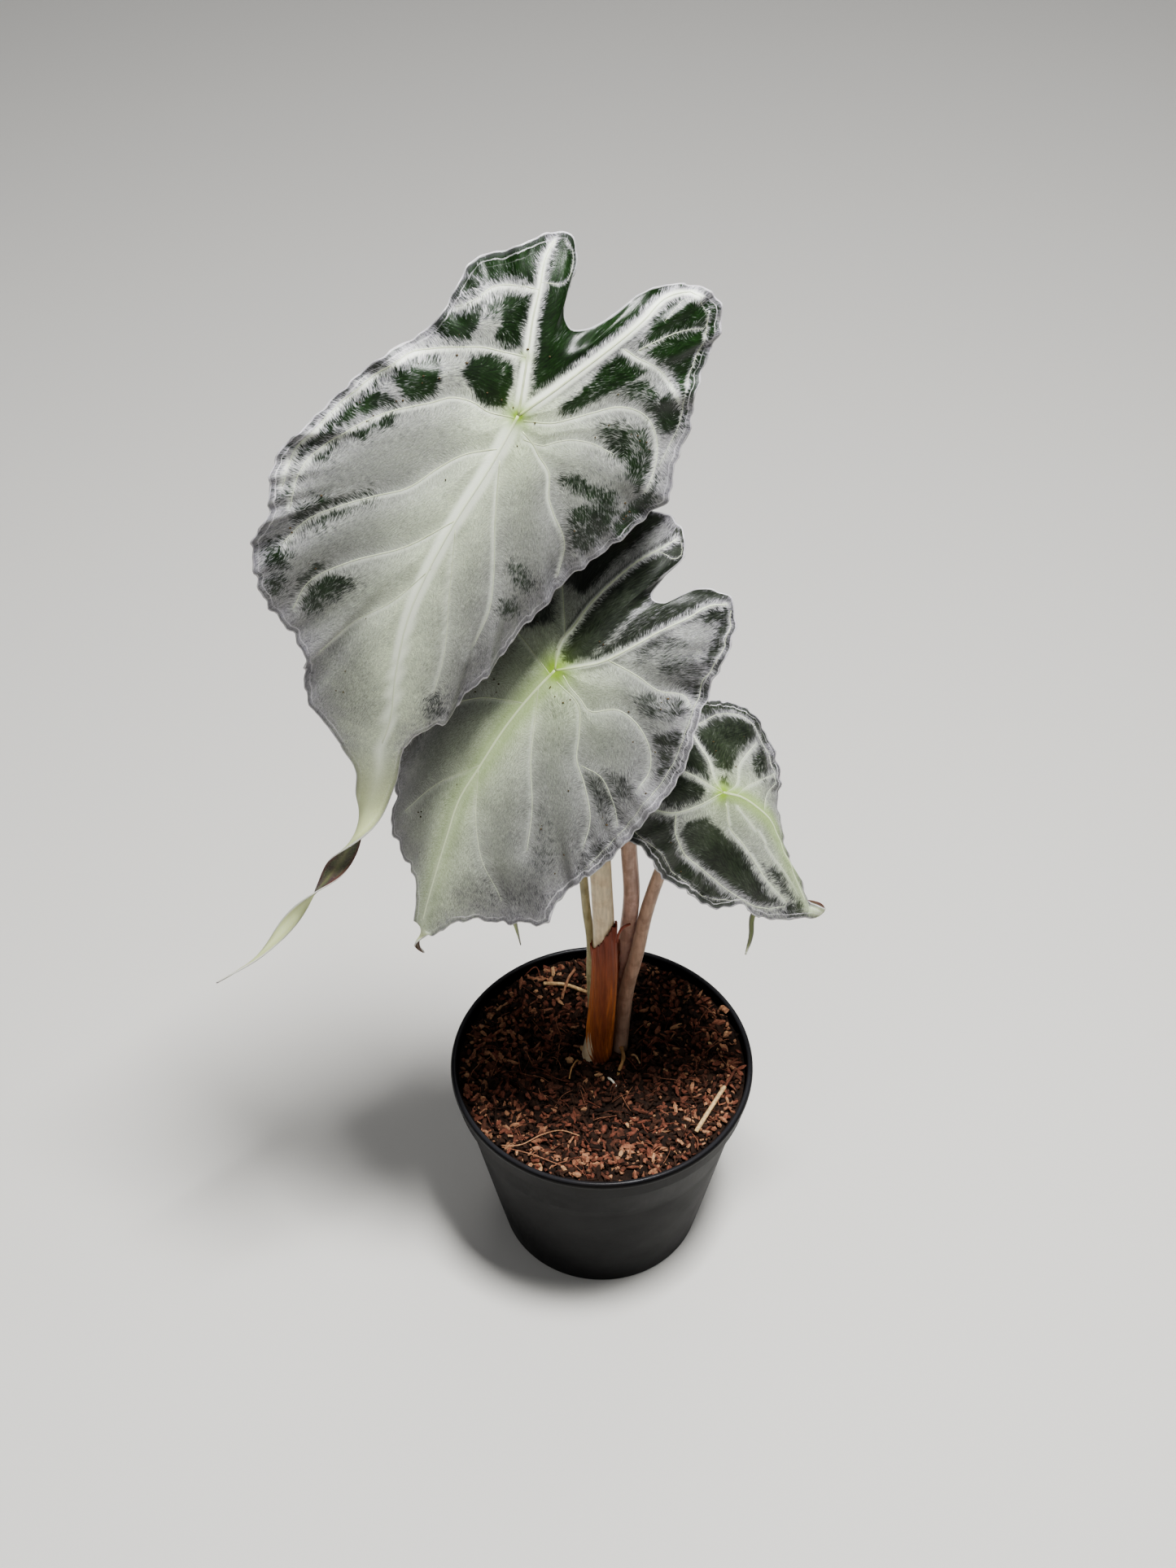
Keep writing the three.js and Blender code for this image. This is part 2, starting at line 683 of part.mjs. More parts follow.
function soilGeometry() {
  const random = randomFrom(soil.seed);
  const inner = (z) => wallRadius(z) - pot.wall - gap - 0.1;
  const low = pot.floor + gap;
  const shoulder = pot.height - pot.bandHeight;
  const top = soil.top + soil.bank;
  const profile = [[0, low], [inner(low) - 0.2, low], [inner(shoulder) - 0.4, shoulder], [pot.rimRadius - 3.6, top - 1]];
  for (const radius of soil.rings) profile.push([radius, top]);
  const body = new THREE.LatheGeometry(profile.map(([r, z]) => new THREE.Vector2(r, z)), soil.segments);
  body.rotateX(Math.PI / 2);
  const place = body.attributes.position;
  for (let i = 0; i < place.count; i++) {
    if (place.getZ(i) > top - 0.5) place.setZ(i, soilHeight(place.getX(i), place.getY(i)));
  }
  let solid = solidFrom(body);
  for (let i = 0; i < soil.chips; i++) {
    const radius = soil.chipReach * Math.sqrt(random());
    const turn = 2 * Math.PI * random();
    const x = radius * Math.cos(turn);
    const y = radius * Math.sin(turn);
    const size = [3 + 6 * random(), 2 + 3 * random(), 1.6 + 2 * random()];
    const chip = new THREE.BoxGeometry(...size);
    chip.rotateX(0.8 * (random() - 0.5)).rotateY(0.8 * (random() - 0.5)).rotateZ(Math.PI * random());
    chip.translate(x, y, soilHeight(x, y) + 0.5);
    if (Math.hypot(x - corm.x, y - corm.y) > soil.stemsClear) solid = solid.add(solidFrom(chip));
  }
  const over = (x, y, up) => [x, y, soilHeight(x, y) + up];
  const straws = [
    { radius: 0.8, path: [over(-23.9, 42.2, 0.2), over(-15, 41.6, 1.2), over(-5.6, 39.3, 0.4)] },
    { radius: 0.6, path: [over(-11, 49.2, -0.4), over(-13.5, 43.4, 2.2), over(-16.4, 36.4, -0.2)] },
    { radius: 0.9, path: [over(36.2, -32.8, 0.4), over(42.1, -22.4, 0.8), over(48.3, -11.9, 0.4)] },
  ];
  for (let i = 0; i < soil.fibres; i++) {
    const turn = Math.PI * (1.05 + 0.6 * random());
    const far = 22 + 24 * random();
    const x = far * Math.cos(turn);
    const y = far * Math.sin(turn);
    const spread = 4 + 5 * random();
    const lean = 2 * Math.PI * random();
    const bend = (share, up) => {
      const turned = lean + 0.5 * share;
      return over(x + spread * share * Math.cos(turned), y + spread * share * Math.sin(turned), up);
    };
    straws.push({ radius: 0.5, path: [bend(-1, -0.8), bend(-0.3, 1.6), bend(0.4, 1.4), bend(1, -0.8)] });
  }
  for (const straw of straws) solid = solid.add(solidFrom(rod(straw.path, 5, 4, () => straw.radius)));
  solid = solid.subtract(cormSolid(gap));
  for (const stem of Object.values(stems)) {
    const [x, y] = stem.path[0];
    const radius = stem.radii[0] + holeClearance;
    const hole = new THREE.CylinderGeometry(radius, radius, 30, 10).rotateX(Math.PI / 2);
    solid = solid.subtract(solidFrom(hole.translate(x, y, corm.top + 13)));
  }
  const bodies = solid.decompose().sort((a, b) => b.volume() - a.volume());
  return geometryFrom(bodies[0]);
}

// The whole plant

const plant = new THREE.Group();

function add(name, geometry, color, roughness) {
  const mesh = new THREE.Mesh(geometry, new THREE.MeshStandardMaterial({ color, roughness, metalness: 0 }));
  mesh.name = name;
  plant.add(mesh);
}

add("pot", potGeometry(), "#141416", 0.5);
add("potting_mix", soilGeometry(), "#3a2015", 0.95);
add("root_crown", geometryFrom(cormSolid(0)), "#a9825a", 0.8);
for (const [name, stem] of Object.entries(stems)) add(name, stemGeometry(stem), stem.color, 0.5);
for (const [name, sheath] of Object.entries(sheaths)) add(name, sheathGeometry(sheath), sheath.color, 0.85);
for (const [name, leaf] of Object.entries(leaves)) add(name, leafGeometry(leaf), "#c8d2be", 0.45);

export default plant;
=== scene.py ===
# Potted alocasia: silver leaves with dark green windows, on fleshy stems in a black nursery pot.
# Sizes are in millimetres until a piece is finished, and the frame is the plant's own, +Z up.
import math
import random

import bmesh
import bpy
import numpy as np
from mathutils import Matrix, Vector, noise


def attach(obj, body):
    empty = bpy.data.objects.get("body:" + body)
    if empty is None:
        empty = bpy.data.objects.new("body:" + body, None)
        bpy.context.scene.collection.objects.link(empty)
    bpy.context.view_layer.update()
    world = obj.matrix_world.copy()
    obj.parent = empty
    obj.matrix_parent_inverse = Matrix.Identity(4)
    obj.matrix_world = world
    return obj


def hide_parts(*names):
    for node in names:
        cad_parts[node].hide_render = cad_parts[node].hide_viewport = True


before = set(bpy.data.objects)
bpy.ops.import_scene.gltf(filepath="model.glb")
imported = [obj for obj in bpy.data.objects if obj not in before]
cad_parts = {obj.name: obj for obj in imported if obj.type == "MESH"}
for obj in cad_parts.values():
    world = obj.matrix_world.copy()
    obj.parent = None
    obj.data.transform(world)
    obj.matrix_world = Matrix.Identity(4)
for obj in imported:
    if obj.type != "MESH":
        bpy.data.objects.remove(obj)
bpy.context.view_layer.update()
mm = 0.001
weldGap = 1e-4  # mm within which corners are joined
print("frame loaded:", len(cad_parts), "solids")


# Small tools


def toLinear(hexColour):
    # sRGB hex to the linear values that shaders take
    parts = [int(hexColour[i : i + 2], 16) / 255 for i in (1, 3, 5)]
    return (*(p / 12.92 if p <= 0.04045 else ((p + 0.055) / 1.055) ** 2.4 for p in parts), 1)


def fill(tree, node, inputs):
    # fills a node's live inputs with numbers, hex colours, sockets or other nodes
    live = [s for s in node.inputs if s.enabled]
    named = {s.name: s for s in reversed(live)}
    pairs = inputs.items() if isinstance(inputs, dict) else zip(range(len(live)), inputs)
    for key, value in pairs:
        socket = named[key] if isinstance(key, str) else live[key]
        if isinstance(value, bpy.types.Node):
            value = next(s for s in value.outputs if s.enabled)
        if isinstance(value, bpy.types.NodeSocket):
            tree.links.new(value, socket)
        else:
            socket.default_value = toLinear(value) if isinstance(value, str) else value


def addNode(tree, kind, inputs=(), **settings):
    # adds a node, sets it and fills its inputs
    node = tree.nodes.new(kind)
    for key, value in settings.items():
        setattr(node, key, value)
    fill(tree, node, inputs)
    return node


def newMaterial(name):
    material = bpy.data.materials.new(name)
    material.use_nodes = True
    return material, material.node_tree, material.node_tree.nodes["Principled BSDF"]


def newObject(name, bm, materials=()):
    # puts a bmesh in the scene as an object of its own
    mesh = bpy.data.meshes.new(name)
    bm.to_mesh(mesh)
    bm.free()
    for material in materials:
        mesh.materials.append(material)
    thing = bpy.data.objects.new(name, mesh)
    bpy.context.scene.collection.objects.link(thing)
    return thing


def finishPiece(name, bm, materials, nodes=(), closed=True, smooth=True):
    # a bmesh in millimetres becomes a piece in metres that rides on the plant
    if closed:
        bmesh.ops.recalc_face_normals(bm, faces=bm.faces)
    bmesh.ops.scale(bm, vec=(mm, mm, mm), verts=bm.verts)
    piece = newObject(name, bm, materials)
    if smooth:
        piece.data.shade_smooth()
    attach(piece, "root")
    if nodes:
        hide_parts(*nodes)
    return piece


def addWall(piece, thickness, offset):
    # gives a sheet its thickness in mm: offset -1 puts it all behind the face, 0 on both sides
    wall = piece.modifiers.new("thickness", "SOLIDIFY")
    wall.thickness = thickness * mm
    wall.offset = offset
    return wall


def smoothstep(value, low, high):
    t = np.clip((value - low) / (high - low), 0, 1)
    return t * t * (3 - 2 * t)


def smoothThrough(pairs, place):
    # a smooth curve through [place, value] pairs, straight beyond its ends
    x, y = np.array(pairs, float).T
    slope = np.gradient(y)
    slope[1:-1] = (y[2:] - y[:-2]) / (x[2:] - x[:-2])
    slope[0] = (y[1] - y[0]) / (x[1] - x[0])
    slope[-1] = (y[-1] - y[-2]) / (x[-1] - x[-2])
    i = np.clip(np.searchsorted(x, place, "right") - 1, 0, len(x) - 2)
    width = x[i + 1] - x[i]
    t = np.clip((place - x[i]) / width, 0, 1)
    bend = width * t * (1 - t) * (slope[i] * (1 - t) - slope[i + 1] * t)
    inside = y[i] + (y[i + 1] - y[i]) * (3 - 2 * t) * t * t + bend
    return inside + slope[0] * np.minimum(place - x[0], 0) + slope[-1] * np.maximum(place - x[-1], 0)


def curveThrough(points, count):
    # count points, evenly spaced, on the centripetal curve through the given ones
    p = np.array(points, float)
    p = np.vstack([2 * p[0] - p[1], p, 2 * p[-1] - p[-2]])
    t = np.linspace(0, 1, 40, endpoint=False)[:, None]
    fine = []
    for a, b, c, d in zip(p[:-3], p[1:-2], p[2:-1], p[3:]):
        ab, bc, cd = (max(np.linalg.norm(s), 1e-6) ** 0.5 for s in (b - a, c - b, d - c))
        start = ((b - a) / ab - (c - a) / (ab + bc) + (c - b) / bc) * bc
        end = ((c - b) / bc - (d - b) / (bc + cd) + (d - c) / cd) * bc
        square = -3 * b + 3 * c - 2 * start - end
        fine.append(b + start * t + square * t**2 + (2 * b - 2 * c + start + end) * t**3)
    fine = np.vstack([*fine, p[-2:-1]])
    run = np.concatenate([[0], np.cumsum(np.linalg.norm(np.diff(fine, axis=0), axis=1))])
    even = np.linspace(0, run[-1], count)
    return np.stack([np.interp(even, run, column) for column in fine.T], axis=1)


def unit(vectors):
    return vectors / np.maximum(np.linalg.norm(vectors, axis=-1, keepdims=True), 1e-9)


def framesAlong(centre, side):
    # directions across a path, carried along it without twist
    tangent = unit(np.gradient(centre, axis=0))
    sides = []
    for t in tangent:
        side = side - t * (side @ t)
        side = side / np.linalg.norm(side)
        sides.append(side)
    sides = np.array(sides)
    return tangent, sides, np.cross(tangent, sides)


def warpedGrid(bm, across, along, place):
    # a grid of faces whose corners go to place(share across, share along)
    made = bmesh.ops.create_grid(bm, x_segments=across, y_segments=along, size=1)["verts"]
    shares = np.array([vert.co[:2] for vert in made]) / 2 + 0.5
    for vert, point in zip(made, place(*shares.T)):
        vert.co = point
    return made, shares


def closeSeams(bm, made):
    # joins the sides of a rolled up grid and caps its open ends
    bmesh.ops.remove_doubles(bm, verts=made, dist=weldGap)
    kept = [vert for vert in made if vert.is_valid]
    rims = dict.fromkeys(edge for vert in kept for edge in vert.link_edges if edge.is_boundary)
    bmesh.ops.holes_fill(bm, edges=list(rims), sides=0)
    return kept


def addTube(bm, path, radius, sides, steps, tint=None):
    # a closed tube: radius is a number or a function of the share of its length and the turn
    centre = curveThrough(path, steps + 1)
    upright = abs(centre[1][0] - centre[0][0]) < 0.7
    side, up = framesAlong(centre, np.array([1.0, 0.2, 0.1] if upright else [0.1, 1.0, 0.2]))[1:]

    def place(x, y):
        i = np.rint(y * steps).astype(int)
        turn = 2 * np.pi * x
        size = radius(y, turn) if callable(radius) else np.full(len(x), float(radius))
        out = side[i] * np.cos(turn)[:, None] + up[i] * np.sin(turn)[:, None]
        return centre[i] + out * size[:, None]

    made = closeSeams(bm, warpedGrid(bm, sides, steps, place)[0])
    if tint is not None:
        layer = bm.verts.layers.float["tint"]
        for vert in made:
            vert[layer] = tint


# Camera, light and floor

view = {
    "place": (-5.475, -483.4, 711.0),  # mm, from the photograph's perspective
    "down": 43.87,  # degrees below the horizon
    "lens": 44.84,  # mm on a sensor 36 mm high
    "sensor": 36,
}


def addCamera():
    camera = bpy.data.objects.new("camera", bpy.data.cameras.new("camera"))
    camera.data.sensor_fit = "VERTICAL"
    camera.data.sensor_height = view["sensor"]
    camera.data.lens = view["lens"]
    camera.data.clip_start = 0.01
    camera.location = Vector(view["place"]) * mm
    camera.rotation_euler = (math.radians(90 - view["down"]), 0, 0)
    bpy.context.scene.collection.objects.link(camera)
    bpy.context.scene.camera = camera


studio = {
    "floor": "#d5d3ce",
    "floorReach": 6,  # metres from the pot to the floor's edge
    "sky": "#f4f6fb",
    "surround": 0.17,  # strength of the even light from all round
    "look": "AgX - Medium High Contrast",
    # place in metres, watts, width in metres
    "lamps": {
        "keyLamp": ((0.16, -0.16, 1.3), 25.0, 0.22),
        "fillLamp": ((-0.6, -1.3, 0.9), 3.6, 1.2),
        "backLamp": ((0.3, 1.2, 1.2), 3.0, 0.9),
    },
    "aim": (0, 0, 0.24),
}


def addFloor():
    # Painted studio floor: matt and even, so that the plant is what the eye sees
    material, tree, shader = newMaterial("paintedFloor")
    fill(tree, shader, {"Base Color": studio["floor"], "Roughness": 0.85})
    bm = bmesh.new()
    bmesh.ops.create_grid(bm, x_segments=2, y_segments=2, size=studio["floorReach"])
    newObject("floor", bm, [material])


def addLight():
    world = bpy.data.worlds.new("studio")
    world.use_nodes = True
    tree = world.node_tree
    fill(tree, tree.nodes["Background"], {"Color": studio["sky"], "Strength": studio["surround"]})
    bpy.context.scene.world = world
    bpy.context.scene.view_settings.look = studio["look"]
    for name, (place, power, width) in studio["lamps"].items():
        lamp = bpy.data.objects.new(name, bpy.data.lights.new(name, "AREA"))
        lamp.data.energy = power
        lamp.data.size = width
        lamp.location = place
        toAim = Vector(studio["aim"]) - Vector(place)
        lamp.rotation_euler = toAim.to_track_quat("-Z", "Y").to_euler()
        bpy.context.scene.collection.objects.link(lamp)


# Leaf materials

bladeLook = {
    "thin": "#6e706b",
    "thick": "#8f9289",
    "besideRib": "#c2c3bf",
    "centre": "#d0d9bd",
    "outer": "#918d96",
    "rib": "#eaefdf",
    "glow": "#83a03c",
    "edge": "#c9c6c9",
    "edgeDark": "#5c5b5e",
    "tail": "#c9d196",
    "stroke": (3.6, 0.42),  # length and width in mm
    "hair": (1.8, 0.22),  # drawn coarser than the real felt, so that it shows
    "directions": 6,  # of the strokes, in half a turn
}


def strokeNoise(tree, flat, grain, size):
    # brush-like strokes that follow the blade's grain: a few fixed directions, mixed by how well
    # each one agrees with the grain
    total, weights = 0.0, 0.0
    for k in range(bladeLook["directions"]):
        turn = math.pi * k / bladeLook["directions"]
        along = (math.cos(2 * turn), math.sin(2 * turn), 0)
        pull = addNode(tree, "ShaderNodeVectorMath", [grain, along], operation="DOT_PRODUCT")
        pull = addNode(tree, "ShaderNodeMath", [pull, 0.0], operation="MAXIMUM")
        pull = addNode(tree, "ShaderNodeMath", [pull, 3.0], operation="POWER")
        shift = (3.7 * k, 9.1 * k, 0)  # so that no two directions share a pattern
        layout = {"Vector": flat, "Location": shift, "Rotation": (0, 0, turn), "Scale": (*size, 1)}
        turned = addNode(tree, "ShaderNodeMapping", layout, vector_type="TEXTURE")
        pattern = {"Vector": turned, "Scale": 1.0, "Detail": 2.0, "Roughness": 0.6}
        mark = addNode(tree, "ShaderNodeTexNoise", pattern, noise_dimensions="2D")
        total = addNode(tree, "ShaderNodeMath", [pull, mark, total], operation="MULTIPLY_ADD")
        weights = addNode(tree, "ShaderNodeMath", [pull, weights], operation="ADD")
    weights = addNode(tree, "ShaderNodeMath", [weights, 0.001], operation="MAXIMUM")
    mean = addNode(tree, "ShaderNodeMath", [total, weights], operation="DIVIDE")
    return addNode(tree, "ShaderNodeMath", [mean, 0.5], operation="SUBTRACT")


def makeBladeMaterial(name, window, feltPaintedShade):
    # Living leaf, upper face: a waxy skin over dark green flesh, with a felt of air cells that looks
    # silver. Hazy windows with combed edges, pale ribs and a thin clear margin are what the eye sees.
    look = bladeLook
    material, tree, shader = newMaterial(name)
    read = {}
    for key in ("flat", "field", "grain", "border", "zone"):
        read[key] = addNode(tree, "ShaderNodeAttribute", attribute_name=key).outputs["Vector"]
    flat, grain = read["flat"], read["grain"]
    outer = addNode(tree, "ShaderNodeSeparateXYZ", [flat]).outputs["Z"]
    tail = addNode(tree, "ShaderNodeSeparateXYZ", [grain]).outputs["Z"]
    silver, rib, glow = addNode(tree, "ShaderNodeSeparateXYZ", [read["field"]]).outputs
    rim, lines, _ = addNode(tree, "ShaderNodeSeparateXYZ", [read["border"]]).outputs
    warm, onRib, nearWindow = addNode(tree, "ShaderNodeSeparateXYZ", [read["zone"]]).outputs

    strokes = strokeNoise(tree, flat, grain, look["stroke"])
    hairs = strokeNoise(tree, flat, grain, look["hair"])
    cloud = addNode(tree, "ShaderNodeTexNoise", {"Vector": flat, "Scale": 0.08, "Detail": 4.0})
    drift = {"Vector": flat, "Scale": 0.3, "Detail": 5.0, "Distortion": 0.8}
    mist = addNode(tree, "ShaderNodeTexNoise", drift)
    gritty = {"Vector": flat, "Scale": 2.2, "Detail": 3.0, "Roughness": 0.75}
    grit = addNode(tree, "ShaderNodeTexNoise", gritty)

    # where the silver felt is: thick on the ribs and thin in the windows, combed and misty between
    ribFelt = addNode(tree, "ShaderNodeMapRange", [onRib, -2.2, 0.6, 0.0, 1.6])
    level = addNode(tree, "ShaderNodeMath", [silver, ribFelt], operation="MAXIMUM")
    level = addNode(tree, "ShaderNodeMath", [cloud, 1.2, level], operation="MULTIPLY_ADD")
    loose = addNode(tree, "ShaderNodeMath", [outer, 0.35, nearWindow], operation="MULTIPLY_ADD")
    loose = addNode(tree, "ShaderNodeMapRange", [loose, 0.0, 1.2, 0.5, 2.8])
    calm = addNode(tree, "ShaderNodeMapRange", [onRib, -2.5, 0.0, 1.0, 0.4])
    loose = addNode(tree, "ShaderNodeMath", [loose, calm], operation="MULTIPLY")
    fuzz = addNode(tree, "ShaderNodeMath", [onRib, 0.9], operation="ADD")
    fuzz = addNode(tree, "ShaderNodeMath", [fuzz], operation="ABSOLUTE")
    fuzz = addNode(tree, "ShaderNodeMapRange", [fuzz, 0.0, 2.2, 3.0, 0.0])
    inWindow = addNode(tree, "ShaderNodeMapRange", [silver, 0.2, 0.9, 1.0, 0.0])
    fuzz = addNode(tree, "ShaderNodeMath", [fuzz, inWindow], operation="MULTIPLY")
    loose = addNode(tree, "ShaderNodeMath", [loose, fuzz], operation="MAXIMUM")
    marks = addNode(tree, "ShaderNodeMath", [hairs, 1.2, strokes], operation="MULTIPLY_ADD")
    marks = addNode(tree, "ShaderNodeMath", [mist, 0.8, marks], operation="MULTIPLY_ADD")
    marks = addNode(tree, "ShaderNodeMath", [marks, 0.4], operation="SUBTRACT")
    level = addNode(tree, "ShaderNodeMath", [marks, loose, level], operation="MULTIPLY_ADD")
    felt = addNode(tree, "ShaderNodeMapRange", [level, 0.75, 1.8], interpolation_type="SMOOTHSTEP")
    depth = addNode(tree, "ShaderNodeMapRange", [level, 1.3, 2.7])

    # green windows, with faint strokes of their own
    lighter = addNode(tree, "ShaderNodeMath", [strokes, 1.2, cloud], operation="MULTIPLY_ADD")
    lighter = addNode(tree, "ShaderNodeMapRange", [lighter, 0.3, 0.8])
    dark = addNode(tree, "ShaderNodeMix", [lighter, *window], data_type="RGBA")

    # the felt: thin and grey or thick and pale, green in the middle and mauve towards the margin
    thin = addNode(tree, "ShaderNodeMix", [outer, look["thin"], look["outer"]], data_type="RGBA")
    beside = addNode(tree, "ShaderNodeMapRange", [onRib, -9.0, -1.5])
    thick = addNode(tree, "ShaderNodeMix", [beside, look["thick"], look["besideRib"]], data_type="RGBA")
    thick = addNode(tree, "ShaderNodeMix", [warm, thick, look["centre"]], data_type="RGBA")
    pale = addNode(tree, "ShaderNodeMix", [depth, thin, thick], data_type="RGBA")
    # painted shade: on the leaves that lie in shade the felt is drawn darker, by a per-leaf factor below 1
    speckle = addNode(tree, "ShaderNodeMapRange", [grit, 0.3, 0.7, 0.68 * feltPaintedShade, 1.2 * feltPaintedShade])
    speckle = addNode(tree, "ShaderNodeMath", [hairs, 1.1, speckle], operation="MULTIPLY_ADD")
    pale = addNode(tree, "ShaderNodeVectorMath", {"Vector": pale, "Scale": speckle}, operation="SCALE")
    pale = addNode(tree, "ShaderNodeMix", [rib, pale, look["rib"]], data_type="RGBA")
    colour = addNode(tree, "ShaderNodeMix", [felt, dark, pale], data_type="RGBA")
    lit = addNode(tree, "ShaderNodeMapRange", [felt, 0.0, 1.0, 0.35, 1.0])
    lit = addNode(tree, "ShaderNodeMath", [lit, glow], operation="MULTIPLY")
    colour = addNode(tree, "ShaderNodeMix", [lit, colour, look["glow"]], data_type="RGBA")
    ending = addNode(tree, "ShaderNodeMapRange", [tail, 0.0, 0.3, 0.0, 0.8])
    colour = addNode(tree, "ShaderNodeMix", [ending, colour, look["tail"]], data_type="RGBA")

    # thin clear margin, and the broken veins that run beside it
    wobble = addNode(tree, "ShaderNodeTexNoise", {"Vector": flat, "Scale": 0.3, "Detail": 3.0})
    line = addNode(tree, "ShaderNodeMath", [wobble, 1.8, rim], operation="MULTIPLY_ADD")
    line = addNode(tree, "ShaderNodeMath", [line, 1.1], operation="SUBTRACT")
    line = addNode(tree, "ShaderNodeMath", [line, 0.8], operation="PINGPONG")
    line = addNode(tree, "ShaderNodeMapRange", [line, 0.26, 0.06], interpolation_type="SMOOTHSTEP")
    broken = addNode(tree, "ShaderNodeMapRange", [cloud, 0.42, 0.6, 0.15, 0.8])
    near = addNode(tree, "ShaderNodeMapRange", [rim, 3.6, 2.0])
    near = addNode(tree, "ShaderNodeMath", [near, lines], operation="MULTIPLY")
    clear = addNode(tree, "ShaderNodeMapRange", [rim, 1.7, 0.7, 0.0, 0.45])
    clear = addNode(tree, "ShaderNodeMath", [clear, near], operation="MULTIPLY")
    colour = addNode(tree, "ShaderNodeMix", [clear, colour, look["edgeDark"]], data_type="RGBA")
    line = addNode(tree, "ShaderNodeMath", [line, near], operation="MULTIPLY")
    line = addNode(tree, "ShaderNodeMath", [line, broken], operation="MULTIPLY")
    colour = addNode(tree, "ShaderNodeMix", [line, colour, look["edge"]], data_type="RGBA")
    hem = addNode(tree, "ShaderNodeMapRange", [rim, 0.5, 0.2, 0.0, 0.7])
    colour = addNode(tree, "ShaderNodeMix", [hem, colour, look["edge"]], data_type="RGBA")

    height = addNode(tree, "ShaderNodeMath", [strokes, 1.2, hairs], operation="MULTIPLY_ADD")
    height = addNode(tree, "ShaderNodeMath", [grit, 0.8, height], operation="MULTIPLY_ADD")
    fill(tree, shader, {
        "Base Color": colour,
        "Roughness": addNode(tree, "ShaderNodeMapRange", [felt, 0.0, 1.0, 0.36, 0.52]),
        "IOR": 1.43,
        "Subsurface Weight": 0.08,
        "Subsurface Radius": (0.6, 1.0, 0.3),
        "Subsurface Scale": 0.0012,
        "Normal": addNode(tree, "ShaderNodeBump", {"Height": height, "Strength": 0.3, "Distance": 0.00014}),
    })
    return material


undersideLook = {"flesh": "#4c3a40", "fleshGreen": "#4c593e", "vein": "#8b8a62", "rim": "#5c3d36"}


def makeUndersideMaterial():
    # Living leaf, lower face: dull purple-brown skin, with the veins showing paler and greener
    look = undersideLook
    material, tree, shader = newMaterial("alocasiaLowerSkin")
    flat = addNode(tree, "ShaderNodeAttribute", attribute_name="flat").outputs["Vector"]
    field = addNode(tree, "ShaderNodeAttribute", attribute_name="field").outputs["Vector"]
    border = addNode(tree, "ShaderNodeAttribute", attribute_name="border").outputs["Vector"]
    rib = addNode(tree, "ShaderNodeSeparateXYZ", [field]).outputs["Y"]
    rim = addNode(tree, "ShaderNodeSeparateXYZ", [border]).outputs["X"]
    cloud = addNode(tree, "ShaderNodeTexNoise", {"Vector": flat, "Scale": 0.12, "Detail": 5.0})
    net = {"Vector": flat, "Scale": 0.55}
    cells = addNode(tree, "ShaderNodeTexVoronoi", net, feature="DISTANCE_TO_EDGE")
    green = addNode(tree, "ShaderNodeMapRange", [cloud, 0.35, 0.65])
    colour = addNode(tree, "ShaderNodeMix", [green, look["flesh"], look["fleshGreen"]], data_type="RGBA")
    fineVeins = addNode(tree, "ShaderNodeMapRange", [cells, 0.09, 0.0, 0.0, 0.35])
    veins = addNode(tree, "ShaderNodeMath", [rib, fineVeins], operation="MAXIMUM")
    colour = addNode(tree, "ShaderNodeMix", [veins, colour, look["vein"]], data_type="RGBA")
    hem = addNode(tree, "ShaderNodeMapRange", [rim, 1.2, 0.2])
    colour = addNode(tree, "ShaderNodeMix", [hem, colour, look["rim"]], data_type="RGBA")
    relief = addNode(tree, "ShaderNodeMapRange", [cells, 0.0, 0.25])
    fill(tree, shader, {
        "Base Color": colour,
        "Roughness": 0.5,
        "IOR": 1.43,
        "Normal": addNode(tree, "ShaderNodeBump", {"Height": relief, "Strength": 0.3, "Distance": 0.0003}),
    })
    return material


ribLook = {"upper": "#dde4cb", "line": "#98a17b", "lower": "#77704f", "glow": "#a3b472"}


def makeRibMaterial():
    # Leaf rib: firm pale green tissue, smooth and moist, nearly white where the felt reaches it
    look = ribLook
    material, tree, shader = newMaterial("alocasiaRib")
    field = addNode(tree, "ShaderNodeAttribute", attribute_name="field").outputs["Vector"]
    under, line, glow = addNode(tree, "ShaderNodeSeparateXYZ", [field]).outputs
    place = addNode(tree, "ShaderNodeTexCoord").outputs["Object"]
    cloud = addNode(tree, "ShaderNodeTexNoise", {"Vector": place, "Scale": 300.0, "Detail": 2.0})
    cloud = addNode(tree, "ShaderNodeMapRange", [cloud, 0.3, 0.7, 0.5, 0.9])
    share = addNode(tree, "ShaderNodeMath", [line, cloud], operation="MULTIPLY")
    colour = addNode(tree, "ShaderNodeMix", [share, look["upper"], look["line"]], data_type="RGBA")
    colour = addNode(tree, "ShaderNodeMix", [glow, colour, look["glow"]], data_type="RGBA")
    colour = addNode(tree, "ShaderNodeMix", [under, colour, look["lower"]], data_type="RGBA")
    fill(tree, shader, {"Base Color": colour, "Roughness": 0.42, "IOR": 1.43})
    return material


# Leaves: places in a blade are measured in mm from the junction, where the stem meets it. The first
# number runs across the blade, to the right with the tip down, and the second towards the tip.

